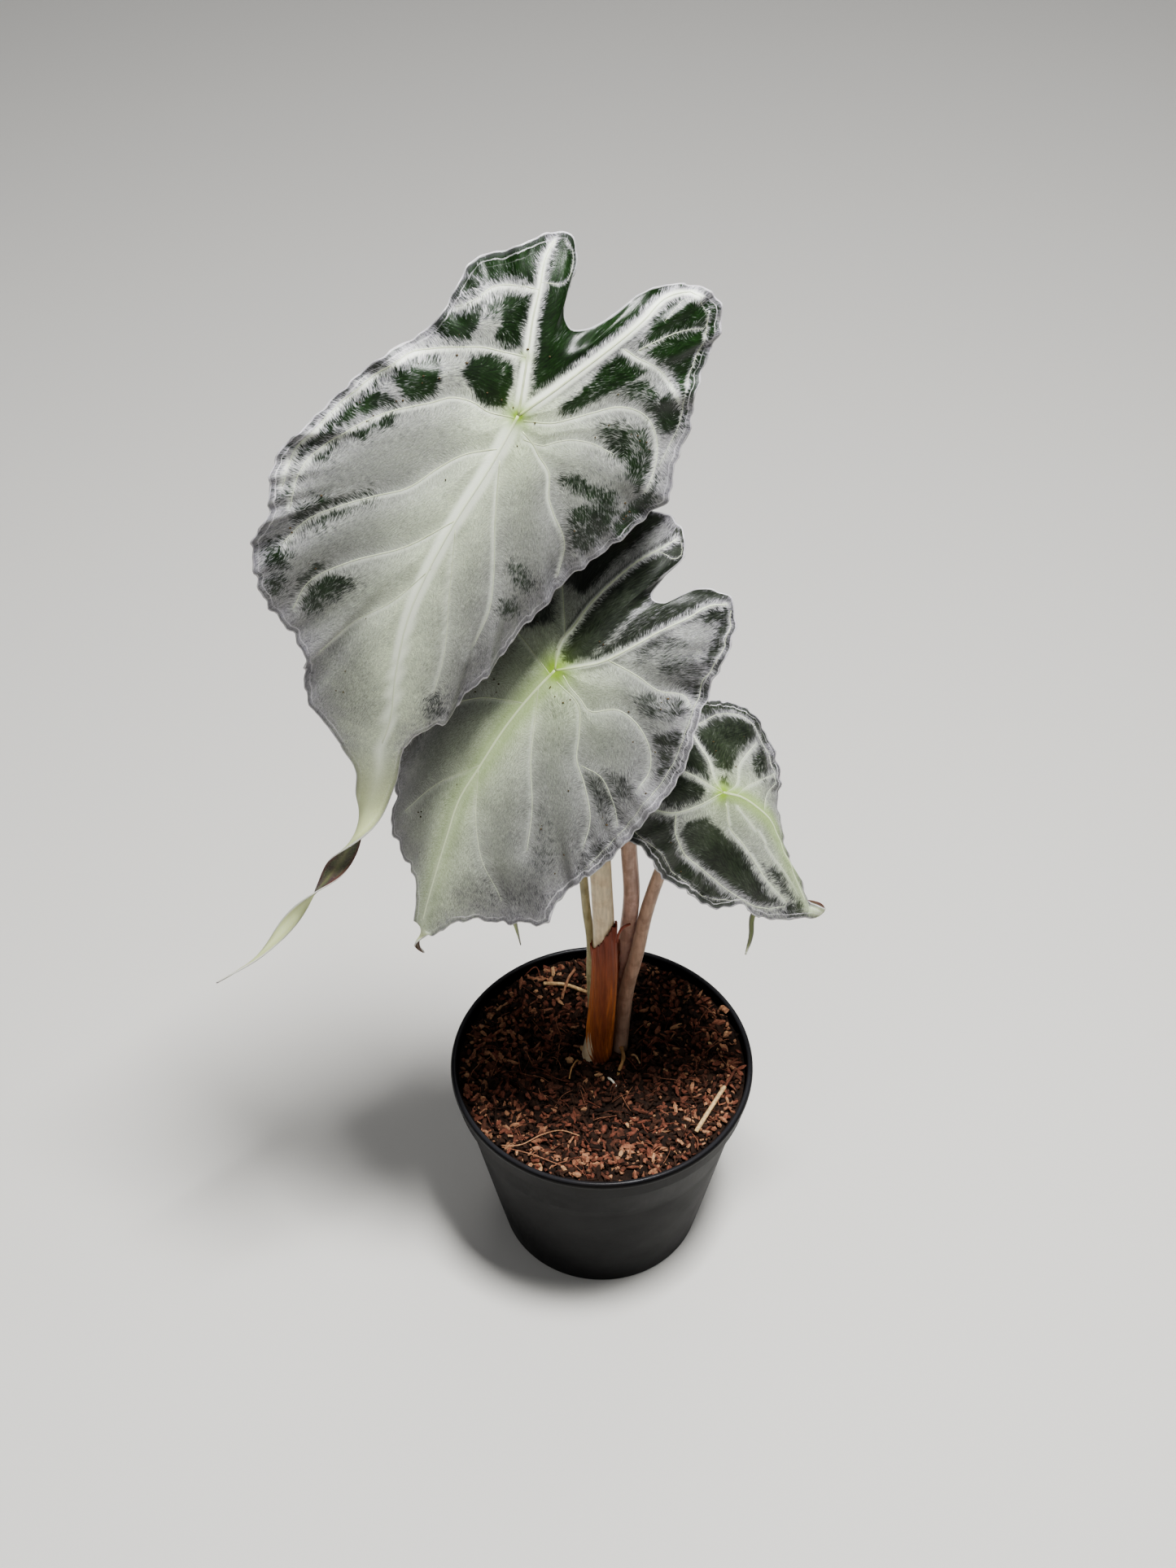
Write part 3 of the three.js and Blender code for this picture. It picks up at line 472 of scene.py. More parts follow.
leaves = {
    "leaf_large": {
        "junction": [-25, -20, 408],
        "turn": (-80, 16, -25.5),  # facing, lift and swing in degrees
        "arch": (280, 300),  # radius towards the tip and towards the lobes
        "fold": (0.15, 10),  # slope each side of the midrib, and how round the fold is
        "curl": 3,  # how far the margin bends back
        "ruffle": (1.3, 17),  # height of the margin's waves, and how many there are
        "samples": 88,  # the solid's points round the margin, which set where the waves lie
        "grid": (430, 96),  # faces round the margin and out to it
        "puff": 0.9,  # how far the blade swells between its ribs
        "glow": (0.95, 0.06, 3.6),  # at the junction, along the midrib, reach in mm
        "dots": [[-4, -16]],  # smaller green dots where ribs part
        "sinus": (-4, 37),  # degrees between the lobe tips, where the margin is plain
        "silver": (1.25, 0.25),  # felt in the middle, and how much less at the margin
        "window": ("#0c1908", "#1d3615"),
        "combed": 1.0,  # how far strokes break up the windows' edges
        "ribLight": 0.95,  # how pale the ribs are
        "midribLight": 0.9,
        # painted shade on the felt: 1 is none, for this leaf in full light
        "feltPaintedShade": 1.0,
        "windowDepth": 2.1,  # how much felt a full window lacks
        "midribBand": 3.3,
        "scallop": 0.005,  # share of the reach
        "midrib": [[0, 0], [-2, 17], [-5, 35], [-6.5, 54], [-6, 70], [-2, 90], [3, 107], [5, 121]],
        "outline": [
            [-7, 124], [-14, 118], [-21, 113], [-25, 106], [-28, 97], [-34, 91], [-44, 84], [-51, 75],
            [-55, 65], [-54, 55], [-57, 44], [-57, 36], [-53, 25], [-49, 17], [-44, 6], [-39, -3],
            [-33, -9], [-29, -18], [-27.6, -27], [-26, -33.6], [-19, -39.4], [-9, -48.4], [-3, -50],
            [1, -44], [1, -36], [4, -28], [8, -27], [14, -32], [22, -43], [32, -48.5], [42, -49],
            [47.6, -42.5], [47.8, -30], [47.6, -22], [51.4, -11], [51.2, 0], [53.5, 11], [50.5, 18],
            [42, 32], [34, 49], [30, 62], [27, 78], [23, 92], [21, 104], [14, 111], [12, 118],
        ],
        # pale band each side in mm, rib radius in mm, and the rib's line
        "veins": [
            (2.1, 0.9, [[0, 0], [-2, -9], [-4, -18], [-6, -27], [-7, -35], [-8, -42], [-7, -47]]),
            (2.3, 0.9, [[0, 0], [7, -10], [13, -19], [19, -28], [24, -36], [28, -43], [34, -47],
                [38, -47]]),
            (1.9, 0.4, [[-7, -34], [-12, -33], [-18, -30], [-22, -25], [-26, -21]]),
            (1.8, 0.5, [[-4, -16], [-10, -15], [-16, -14], [-23, -11], [-28, -8], [-34, -4], [-39, 3],
                [-44, 12], [-49, 22], [-53, 33], [-53, 45]]),
            (1.5, 0.5, [[-1, 1], [-8, 2], [-13, 1], [-19, 2], [-23, 5], [-33, 12], [-40, 19], [-46, 28],
                [-50, 38], [-49, 50]]),
            (1.5, 0.5, [[-2, 11], [-10, 16], [-15, 22], [-21, 31], [-29, 37], [-36, 43], [-43, 51],
                [-47, 62]]),
            (1.4, 0.5, [[-5, 35], [-15, 48], [-28, 59], [-36, 70], [-37, 82]]),
            (1.3, 0.4, [[-6, 52], [-12, 66], [-20, 78], [-25, 92]]),
            (1.6, 0.5, [[2, 1], [10, -1], [15, -4], [21, -8], [26, -11], [31, -12], [36, -11], [40, -8],
                [43, -4], [45, 2], [45, 10]]),
            (1.2, 0.4, [[4, 6], [10, 6], [13, 4], [17, 2], [23, 1], [31, 2]]),
            (1.6, 0.45, [[3, 4], [8, 7], [10, 9], [15, 13], [18, 20], [22, 25], [27, 30], [30, 35],
                [32, 44]]),
            (1.4, 0.45, [[0, 14], [6, 32], [12, 47], [16, 60], [17, 74]]),
            (1.2, 0.35, [[-4, 38], [3, 60], [9, 78], [12, 94]]),
            (0.5, 0.22, [[-7, -36], [-3, -37], [-1, -38], [0, -40], [0, -43], [-1, -46], [-4, -48]]),
            (0.4, 0.2, [[30, -38], [32, -42], [34, -45], [38, -46], [42, -43]]),
            (0.6, 0.35, [[26, -28], [30, -32], [35, -36], [39, -38], [43, -39]]),
            (1.9, 0.35, [[22, -27], [26, -26], [33, -25], [39, -22], [44, -18]]),
            (0.7, 0.25, [[42, -44], [44, -38], [44, -30], [44, -24], [45, -19], [47, -13], [47, -6],
                [46, 2]]),
        ],
        # dark windows: how dark, and the outline
        "windows": [
            (1, [[0, -1], [-4, -18], [-7, -35], [-8, -46], [-3, -55], [30, -54], [37, -49], [24, -36],
                [13, -19]]),
            (1, [[-10, -52], [-9, -35], [-16, -34.5], [-22, -31.5], [-28, -33], [-23, -41], [-17, -46]]),
            (1, [[-26, -27], [-23, -28], [-22, -26], [-25, -22], [-27, -23]]),
            (1, [[-14, -28], [-9, -30], [-8, -23], [-8, -19], [-10, -17], [-12, -19], [-12, -24]]),
            (0.4, [[-18, -26], [-15, -28], [-13, -25], [-15, -23], [-17, -23]]),
            (0.65, [[-27, -21], [-22, -24], [-20, -22], [-21, -18], [-21, -15], [-24, -13], [-28, -15]]),
            (0.75, [[-42, 6], [-37, -2], [-35, -6], [-38, 1], [-41, 8], [-43, 12], [-45, 14]]),
            (1, [[-16, -10], [-11, -13], [-8, -12], [-6, -8], [-6, -2], [-10, 0], [-13, -3], [-17, -6]]),
            (0.8, [[-35, 2], [-33, -2], [-27, -6], [-25, -1], [-25, 4], [-28, 6], [-32, 4]]),
            (0.7, [[-42, 13], [-38, 10], [-34, 10], [-33, 15], [-37, 17], [-38, 21], [-41, 21], [-45, 20],
                [-43, 16]]),
            (0.8, [[-52, 22], [-49, 18], [-45, 14], [-44, 18], [-48, 22], [-50, 24]]),
            (0.75, [[-51, 25], [-46, 24], [-45, 28], [-46, 31], [-51, 32]]),
            (0.65, [[-54, 33], [-50, 32], [-49, 34], [-53, 36]]),
            (0.65, [[-55, 38], [-52, 36], [-51, 40], [-54, 41]]),
            (0.42, [[-54, 44], [-51, 43], [-52, 48], [-54, 47]]),
            (0.42, [[-46, 52], [-45, 48], [-42, 44], [-37, 42], [-30, 37], [-35, 43], [-38, 47],
                [-41, 51], [-44, 54]]),
            (0.4, [[-51, 65], [-47, 61], [-48, 65], [-45, 64], [-45, 68], [-48, 69]]),
            (0.44, [[-36, 64], [-33, 65], [-32, 67], [-28, 65], [-25, 65], [-27, 69], [-29, 75],
                [-32, 81], [-36, 77], [-38, 71]]),
            (0.42, [[-46, 75], [-44, 72], [-42, 78], [-45, 79]]),
            (1, [[12, -6], [17, -14], [19, -20], [22, -24], [27, -25], [29, -24], [27, -21], [24, -18],
                [20, -14], [16, -9], [14, -6]]),
            (1, [[31, -42], [35, -46], [39, -46], [43, -45], [45, -40], [37, -39], [33, -35], [27, -30],
                [30, -38]]),
            (1, [[30, -28], [35, -35], [40, -38], [44, -38], [44, -33], [43, -29], [36, -27], [33, -27]]),
            (0.7, [[34, -26], [42, -30], [49, -30], [49, -20], [44, -19], [38, -23]]),
            (0.6, [[36, -14], [40, -18], [46, -17], [48, -12], [43, -9], [38, -11]]),
            (0.35, [[26, -18], [32, -20], [36, -18], [34, -15], [28, -15]]),
            (0.38, [[25, -4], [32, -7], [37, -7], [42, -1], [44, 4], [41, 6], [36, 3], [31, 2],
                [27, -1]]),
            (0.55, [[37, 5], [42, 3], [46, 7], [48, 12], [44, 11], [41, 7]]),
            (0.55, [[43, 19], [45, 14], [48, 13], [50, 15], [47, 18]]),
            (0.65, [[42, 23], [44, 20], [46, 20], [45, 23], [43, 25]]),
            (0.42, [[20, 14], [23, 12], [30, 13], [37, 14], [38, 17], [31, 17], [24, 15]]),
            (0.38, [[26, 22], [31, 18], [37, 16], [40, 18], [39, 24], [37, 29], [36, 33], [32, 33],
                [29, 28]]),
            (0.34, [[16, 43], [20, 43], [24, 47], [24, 50], [21, 50], [18, 46]]),
            (0.35, [[19, 56], [23, 55], [25, 59], [21, 60]]),
            (0.25, [[11, 96], [13, 93], [17, 100], [16, 104], [13, 103]]),
        ],
        "tail": {
            "path": [
                [-72, -33.4, 284], [-76, -32, 269], [-80.8, -32, 258], [-89.2, -33, 239.8],
                [-96.5, -35, 229.6], [-108.7, -38, 215], [-120.4, -42, 203.2], [-133.4, -46, 195.9],
            ],
            "widths": [[0, 19], [0.08, 14.5], [0.3, 9.5], [0.45, 7], [0.7, 5.4], [0.9, 2.2], [1, 0.8]],
            "twist": [
                [0, 0], [0.2, 10], [0.32, 90], [0.44, 180], [0.55, 270], [0.7, 360], [0.86, 450], [1, 500],
            ],
            "rows": 110,
        },
    },
    "leaf_medium": {
        "junction": [-15.6, -18, 313],
        "turn": (-120, 32, -14),
        "arch": (250, 300),
        "fold": (0.4, 8),
        "curl": 3,
        "ruffle": (1.2, 15),
        "samples": 72,
        "grid": (400, 84),
        "puff": 1.1,
        "glow": (0.95, 0.62, 5.5),
        "dots": [],
        "sinus": (-13, 38),
        "silver": (1.25, 0.25),
        "window": ("#151a13", "#363c31"),
        "combed": 0.42,
        "ribLight": 0.45,
        "midribLight": 0.22,
        # painted shade: this leaf's felt is drawn darker, as it lies in the large leaf's shadow
        "feltPaintedShade": 0.86,
        "windowDepth": 1.5,
        "midribBand": 2.4,
        "scallop": 0.006,
        "midrib": [[0, 0], [-3, 11], [-6, 26], [-8, 42], [-10, 58], [-9, 73], [-8, 91], [-7, 112]],
        "outline": [
            [-11, 113], [-13, 103], [-17, 97], [-25, 97], [-33, 91], [-38, 82], [-43, 68], [-48, 52],
            [-50, 36], [-52, 20], [-50, 6], [-46, -6], [-41, -16], [-33, -27], [-26, -38], [-16, -49],
            [-4, -56], [7, -58.5], [13, -56], [16, -51], [14, -42], [14, -35], [18, -36], [24.5, -45],
            [33.5, -47.5], [39, -41], [42, -29], [41.5, -21], [43.5, -10], [46.5, 6], [45.5, 24],
            [42.5, 37], [38, 55], [31, 71], [30.2, 79], [30.6, 85], [25, 88.5], [14, 96], [5, 101],
            [-2, 113],
        ],
        "veins": [
            (1.1, 0.8, [[0, 0], [-3, -8], [-2, -15], [-1, -24], [2, -35], [5, -43], [9, -50], [11, -54]]),
            (1.0, 0.85, [[0, 0], [7, -6], [12, -11], [17, -19], [22, -28], [27, -36], [30, -42],
                [34, -45]]),
            (1.6, 0.5, [[12, -12], [23, -12], [30, -11], [36, -13], [40, -11]]),
            (1.6, 0.5, [[3, 0], [6, 2], [11, 4], [15, 6], [22, 1], [29, 2], [35, 7], [38, 14], [38, 22]]),
            (1.4, 0.5, [[2, 3], [11, 6], [15, 14], [18, 23], [23, 29], [29, 39], [31, 50]]),
            (1.4, 0.45, [[-2, 8], [2, 20], [6, 32], [12, 46], [16, 62]]),
            (1.2, 0.4, [[-8, 44], [-2, 62], [6, 76], [14, 86]]),
            (1.0, 0.3, [[20, 24], [27, 24], [33, 30], [37, 38]]),
            (1.6, 0.5, [[-2, -10], [-14, -22], [-24, -30]]),
            (1.6, 0.5, [[-1, 2], [-18, -1], [-34, 0], [-44, 10], [-47, 24]]),
            (1.4, 0.5, [[-4, 15], [-20, 24], [-34, 40], [-40, 56]]),
            (1.4, 0.45, [[-8, 42], [-20, 58], [-30, 78]]),
            (0.5, 0.22, [[7, -48], [11, -49], [14, -49], [15, -52], [12, -55]]),
            (0.8, 0.25, [[36, -44], [39, -36], [40, -27], [39, -19], [41, -10], [43, 4], [42, 22],
                [38, 42], [34, 58]]),
        ],
        "windows": [
            (0.85, [[0, -1], [-3, -8], [-1, -24], [5, -43], [11, -57], [17, -50], [13, -35], [10, -22],
                [7, -10]]),
            (0.64, [[7, -6], [13, -20], [15, -38], [24, -52], [33, -50], [29, -39], [22, -28],
                [12, -11]]),
            (0.65, [[29, -41], [32, -44], [36, -45], [38, -43], [35, -41], [32, -38]]),
            (0.65, [[36, -41], [38, -42], [41, -37], [42, -31], [41, -26], [38, -26], [38, -33],
                [36, -38]]),
            (0.42, [[20, -18], [21, -23], [26, -28], [31, -29], [27, -26], [23, -22], [21, -17]]),
            (0.35, [[27, -22], [34, -25], [38, -24], [41, -17], [37, -15], [31, -16], [28, -18]]),
            (0.42, [[26, -6], [30, -9], [38, -11], [38, -6], [35, -4], [29, -3]]),
            (0.55, [[35, 4], [38, 1], [42, -2], [43, 2], [39, 5], [36, 5]]),
            (0.5, [[38, 6], [41, 3], [44, 9], [44, 14], [41, 15], [40, 10]]),
            (0.3, [[28, 22], [33, 21], [37, 25], [35, 28], [31, 26]]),
            (0.35, [[23, 26], [27, 24], [31, 25], [34, 30], [31, 33], [26, 30]]),
            (0.25, [[29, 32], [33, 30], [37, 35], [34, 37], [30, 34]]),
            (0.42, [[36, -16], [39, -19], [42, -18], [40, -14], [37, -15]]),
            (0.1, [[1, 89], [4, 78], [9, 76], [17, 77], [23, 79], [21, 84], [11, 90], [2, 95]]),
            (0.15, [[14, 43], [19, 46], [23, 55], [24, 62], [24, 70], [19, 65], [20, 56], [15, 50]]),
            (0.3, [[32, 57], [34, 51], [37, 44], [39, 47], [36, 57], [33, 60]]),
            (0.12, [[20, 68], [24, 65], [28, 78], [27, 82], [21, 75]]),
            (0.15, [[2, 9], [6, 5], [9, 8], [6, 13], [3, 13]]),
            (0.8, [[-16, -24], [-6, -26], [-2, -42], [2, -56], [-14, -52], [-26, -40]]),
            (0.55, [[-22, -22], [-10, -12], [-18, -5], [-34, -4], [-42, -12], [-34, -22]]),
            (0.55, [[-44, 4], [-40, 4], [-46, 18], [-50, 20]]),
            (0.5, [[-36, 46], [-42, 40], [-46, 50], [-40, 66], [-36, 60]]),
        ],
        "tail": {
            "path": [[-63.5, -31.5, 204.5], [-65.2, -31.5, 201], [-65, -30.5, 197], [-63, -30, 193.5]],
            "widths": [[0, 8.5], [0.3, 3.6], [0.6, 2.4], [1, 1]],
            "twist": [[0, 0], [1, 160]],
            "rows": 24,
        },
    },
    "leaf_small": {
        "junction": [40, -8, 250],
        "turn": (-42, 36, 12.5),
        "arch": (200, 250),
        "fold": (0.4, 6),
        "curl": 2,
        "ruffle": (0.9, 12),
        "samples": 56,
        "grid": (330, 66),
        "puff": 0.8,
        "glow": (1.0, 0.8, 3.6),
        "dots": [],
        "sinus": (-20, 10),
        "silver": (1.1, 0.25),
        "window": ("#161b13", "#363e2f"),
        "combed": 0.75,
        "ribLight": 0.4,
        "midribLight": 0.15,
        # painted shade: this leaf's felt is drawn darker, as less light reaches it
        "feltPaintedShade": 0.76,
        "windowDepth": 1.65,
        "midribBand": 2.3,
        "scallop": 0.007,
        "midrib": [[0, 0], [5, 7], [8, 15], [9.5, 22], [9, 31], [7, 43], [6, 55], [5.5, 62]],
        "outline": [
            [3, 64], [-5, 57], [-12, 47], [-14, 40], [-21, 35], [-27, 20], [-31, 6], [-32, -6],
            [-35, -13], [-33, -22], [-27, -29], [-18, -33], [-9, -34], [-2, -31], [3, -24], [8, -22.5],
            [12, -25], [20.3, -24], [30, -17.3], [39.2, -6.8], [40.8, 4.4], [35.6, 13.8], [24.8, 22.6],
            [16.4, 27], [12, 34.6], [10.6, 46], [9, 56], [8.5, 62],
        ],
        "veins": [
            (2.0, 0.6, [[0, 0], [1, -5], [6, -10], [8, -15], [11, -20]]),
            (1.9, 0.6, [[0, 0], [-2, -5], [-4, -11], [-8, -19], [-13, -27]]),
            (2.3, 0.6, [[0, 0], [-9, -3], [-18, -8], [-24, -16], [-27, -22]]),
            (1.5, 0.45, [[-18, -7], [-21, -1], [-21, 9], [-18, 21], [-15, 32], [-12, 41], [-7, 49],
                [-2, 53]]),
            (2.3, 0.5, [[-1, 4], [-4, 12], [-3, 22], [-3, 31], [-3, 39], [-1, 52]]),
            (2.2, 0.45, [[1, 1], [7, 3], [14, 1], [22, 2], [30, 4]]),
            (2.0, 0.3, [[4, 5], [11, 7], [20, 12], [27, 16]]),
            (2.2, 0.3, [[2, 8], [3, 20], [3, 32], [4, 44], [4, 54]]),
            (1.3, 0.4, [[9, 18], [16, 16], [24, 18]]),
            (1.1, 0.35, [[10, -20], [18, -17], [28, -12], [35, -5], [36, 0], [34, 6], [30, 12],
                [24, 18]]),
            (0.5, 0.22, [[-23, -28], [-30, -22], [-31, -12], [-28, 0], [-26, 14], [-22, 28], [-14, 38]]),
        ],
        "windows": [
            (1, [[11, -18], [19, -16], [28, -10], [34, -4], [34, 0], [31, 2], [24, 0], [20, -2], [14, -3],
                [10, -2], [7, -6], [8, -10], [10, -14]]),
            (0.55, [[20, 6], [29, 7], [28, 10], [20, 11], [18, 9]]),
            (0.55, [[27, 13], [31, 13], [30, 17], [24, 19], [21, 17]]),
            (0.5, [[4, -3], [6, -2], [4, 0], [2, -2]]),
            (1, [[5, -20], [7, -19], [4, -14], [1, -8], [-2, -9], [-5, -15], [-8, -24], [-3, -30],
                [3, -24]]),
            (1, [[-10, -15], [-6, -7], [-9, -6], [-16, -9], [-22, -15], [-24, -24], [-16, -30]]),
            (1, [[-16, 0], [-11, 3], [-9, 10], [-8, 16], [-6, 23], [-7, 30], [-3, 34], [-4, 38], [-7, 43],
                [-11, 41], [-13, 34], [-16, 31], [-18, 19], [-19, 8], [-19, 2]]),
            (1, [[-5, 41], [-3, 52], [-7, 49], [-10, 43]]),
            (1, [[-35, -14], [-25, -14], [-21, -6], [-23, 0], [-22, 9], [-19, 22], [-16, 33], [-12, 42],
                [-16, 44], [-24, 34], [-29, 22], [-33, 8], [-35, -4]]),
            (0.75, [[10, -22], [20, -20], [29, -14], [37, -6], [39, 0], [37, 8], [44, 8], [44, -6],
                [32, -20], [20, -27], [10, -27]]),
            (0.65, [[-1, 55], [5, 57], [8, 63], [2, 62], [-2, 58]]),
            (0.5, [[0, 37], [2, 39], [2, 45], [3, 53], [1, 52], [-1, 44]]),
        ],
        "tail": {
            "path": [
                [75.9, -12.6, 195.4], [78.6, -10.4, 191.5], [77.2, -4, 188.6], [69.5, 0.6, 186.4],
                [60.5, -0.5, 186.5], [54.5, -6.3, 186.3], [53.4, -12.7, 182.5], [51.3, -18.1, 178.3],
            ],
            "widths": [[0, 5.6], [0.2, 4], [0.6, 3], [0.9, 1.6], [1, 0.8]],
            "twist": [[0, 0], [0.4, 100], [1, 260]],
            "rows": 60,
        },
    },
    "leaf_hidden": {
        "junction": [-22, 34, 245],
        "turn": (115, 25, 0),
        "arch": (220, 250),
        "fold": (0.15, 8),
        "curl": 2,
        "ruffle": (0.9, 11),
        "samples": 48,
        "grid": (280, 42),
        "puff": 0.8,
        "glow": (0.9, 0.5, 3.6),
        "dots": [],
        "sinus": (-17, 17),
        "silver": (1.1, 0.25),
        "window": ("#12170f", "#2a3224"),
        "combed": 0.75,
        "ribLight": 0.8,
        "midribLight": 0.2,
        # painted shade: this leaf's felt is drawn darker, as it lies in shade behind the others
        "feltPaintedShade": 0.84,
        "windowDepth": 1.8,
        "midribBand": 2.3,
        "scallop": 0.007,
        "midrib": [[0, 0], [1.5, 18], [1.5, 40], [0, 62], [0, 76]],
        "outline": [
            [-3.5, 76], [-6, 67], [-13, 56], [-20, 42], [-24, 26], [-25, 12], [-24, -2], [-21, -14],
            [-17, -25], [-11, -30], [-5, -27], [-3, -19], [0, -15], [3, -19], [6, -27], [12, -31],
            [19, -26], [23, -14], [26, -1], [27, 12], [26, 27], [21, 43], [14, 56], [6, 67], [3.5, 76],
        ],
        "veins": [
            (1.5, 0.7, [[0, 0], [-5, -12], [-10, -24], [-12, -28]]),
            (1.5, 0.7, [[0, 0], [6, -12], [12, -24], [14, -28]]),
            (1.4, 0.45, [[0, 2], [-12, 4], [-21, 14]]),
            (1.4, 0.45, [[0, 2], [13, 5], [22, 14]]),
            (1.4, 0.45, [[1, 16], [-10, 30], [-17, 42]]),
            (1.4, 0.45, [[1, 16], [12, 32], [18, 42]]),
            (1.2, 0.4, [[1, 34], [-7, 50], [-10, 58]]),
            (1.2, 0.4, [[1, 34], [8, 50], [11, 58]]),
        ],
        "windows": [
            (1, [[0, -3], [-5, -14], [-9, -26], [-5, -29], [-2, -19], [0, -15], [3, -19], [6, -28],
                [11, -27], [6, -13]]),
            (0.65, [[-8, -14], [-14, -24], [-20, -14], [-22, -2], [-12, 0]]),
            (0.65, [[8, -14], [16, -24], [22, -14], [24, -2], [12, 0]]),
            (0.55, [[-12, 9], [-20, 18], [-18, 32], [-10, 22]]),
            (0.55, [[13, 9], [23, 18], [21, 34], [11, 24]]),
            (0.55, [[-6, 36], [-15, 46], [-10, 52], [-6, 44]]),
            (0.55, [[7, 36], [16, 46], [11, 53], [7, 45]]),
        ],
        "tail": {
            "path": [[-35.8, 43.6, 166], [-36.5, 43, 150], [-35.5, 42, 134], [-33, 41.5, 116]],
            "widths": [[0, 7], [0.3, 4], [0.7, 2.6], [1, 0.8]],
            "twist": [[0, 0], [0.4, 90], [1, 240]],
            "rows": 60,
        },
    },
}

bladeThickness = 0.45
neckColumns = 8  # faces across the neck and the tail
neckShare = 0.14  # share of the tail over which it takes on its own shape and look
leastTurn = 0.0004  # radians from one point of the margin to the next
firmRib = 0.65  # mm: a thicker rib is a firm pale band
swellRib = 0.3  # mm: the blade swells up between ribs that are thicker
marginReach = 9  # mm from the margin over which the felt turns mauve
warmReach = (15, 20)  # mm from the midrib and from the junction that stay green and pale
hazeReach = 2.4  # mm beside a fine rib over which its felt thins out by one unit
windowEdge = (-3.0, 1.2)  # mm inside a window's outline, from clear to full
tags = ("edge", "place", "tail", "across")  # a corner's share out and round, and its place in the tail
barbLean = 1.2  # angle in radians between a rib and the strokes beside it
strokeReach = (8, 9)  # mm from the margin and from a rib over which each turns the strokes


def bladeAxes(leaf):
    # directions of a blade: across it, towards its tip, and out of its face
    facing, lift, swing = (math.radians(a) for a in leaf["turn"])
    out = Vector((math.cos(lift) * math.cos(facing), math.cos(lift) * math.sin(facing), math.sin(lift)))
    down = (Vector((0, 0, -1)) + out * out.z).normalized()
    along = Matrix.Rotation(swing, 3, out) @ down
    return np.array([out.cross(along), along, out])


def marginOf(leaf):
    # the margin's points and their shares of the way round, with the neck at the end
    columns, samples = leaf["grid"][0], leaf["samples"]
    outline = curveThrough(leaf["outline"], columns - neckColumns + 1)
    # each point lies a little further round than the one before, so that no face folds over
    reach, least = np.linalg.norm(outline, axis=1), leastTurn * np.arange(len(outline))
    turn = np.unwrap(np.arctan2(outline[:, 1], outline[:, 0]))
    turn = np.maximum.accumulate(turn - least) + least
    outline = np.stack([reach * np.cos(turn), reach * np.sin(turn)], 1)
    tip = np.array(leaf["midrib"][-1], float)
    half = np.linspace(0, 1, neckColumns // 2 + 1)[1:, None]
    neck = np.vstack([outline[-1] + (tip - outline[-1]) * half, tip + (outline[0] - tip) * half])
    share = np.linspace(0, samples - 2, len(outline))
    neckPart = np.linspace(samples - 2, samples, neckColumns + 1)[1:]
    return np.vstack([outline, neck]), np.concatenate([share, neckPart]) / samples


def reachAt(leaf, u, v):
    # how far out towards the margin a place in the blade lies, and where along the margin
    margin, share = marginOf(leaf)
    angle = np.maximum.accumulate(np.unwrap(np.arctan2(margin[:, 1], margin[:, 0])))
    turn = np.arctan2(v, u)
    turn = angle[0] + np.mod(turn - angle[0], 2 * np.pi)
    reach = np.interp(turn, angle, np.linalg.norm(margin, axis=1))
    return np.hypot(u, v) / reach, np.interp(turn, angle, share)


def toSegment(a, b, u, v):
    # distance from each place to a segment, the share along it, and the side it lies on
    step = b - a
    du, dv = u - a[0], v - a[1]
    t = np.clip((du * step[0] + dv * step[1]) / (step @ step), 0, 1)
    return np.hypot(du - t * step[0], dv - t * step[1]), t, np.sign(step[0] * dv - step[1] * du)


def nearLine(line, u, v):
    # distance from each place to a line, the share along it, the heading there and the side
    points = curveThrough(line, max(6, 3 * len(line)))
    best, share, heading, sides = (np.full(len(u), start) for start in (1e9, 0.0, 0.0, 0.0))
    for i, (a, b) in enumerate(zip(points[:-1], points[1:])):
        away, t, side = toSegment(a, b, u, v)
        closer = away < best
        best[closer] = away[closer]
        share[closer] = (i + t[closer]) / (len(points) - 1)
        heading[closer] = math.atan2(*(b - a)[::-1])
        sides[closer] = side[closer]
    return best, share, heading, sides


def insideBy(outline, u, v):
    # how far inside an outline each place lies, negative outside it
    away, inside = np.full(len(u), 1e9), np.zeros(len(u), bool)
    for a, b in zip(outline, np.roll(outline, 1, axis=0)):
        away = np.minimum(away, toSegment(a, b, u, v)[0])
        if a[1] != b[1]:
            cuts = (a[1] > v) != (b[1] > v)
            inside ^= cuts & (u < (b[0] - a[0]) * (v - a[1]) / (b[1] - a[1]) + a[0])
    return np.where(inside, away, -away)


def rimOf(leaf, u, v):
    # distance from each place to the free margin
    margin = marginOf(leaf)[0][:-neckColumns]
    return np.min([toSegment(a, b, u, v)[0] for a, b in zip(margin[:-1], margin[1:])], axis=0)


def veinsOf(leaf):
    return [(leaf["midribBand"], 1.0, leaf["midrib"]), *leaf["veins"]]


def toVein(leaf, u, v, thicker):
    # distance from each place to the nearest vein of more than the given radius
    lines = [line for band, radius, line in veinsOf(leaf) if radius > thicker]
    return np.min([nearLine(line, u, v)[0] for line in lines], axis=0)


def sinusShare(leaf, u, v):
    # 1 between the lobes, where the margin is plain and flat, and 0 elsewhere
    low, high = leaf["sinus"]
    bearing = np.degrees(np.arctan2(u, -v))
    return smoothstep(bearing, low - 3, low + 3) * (1 - smoothstep(bearing, high - 3, high + 3))


def freeShare(edge, place, start):
    # 0 inside the blade and at its neck, and 1 at its free margin
    return smoothstep(edge, start, 1) * smoothstep(np.minimum(place, 1 - place), 0.01, 0.06)


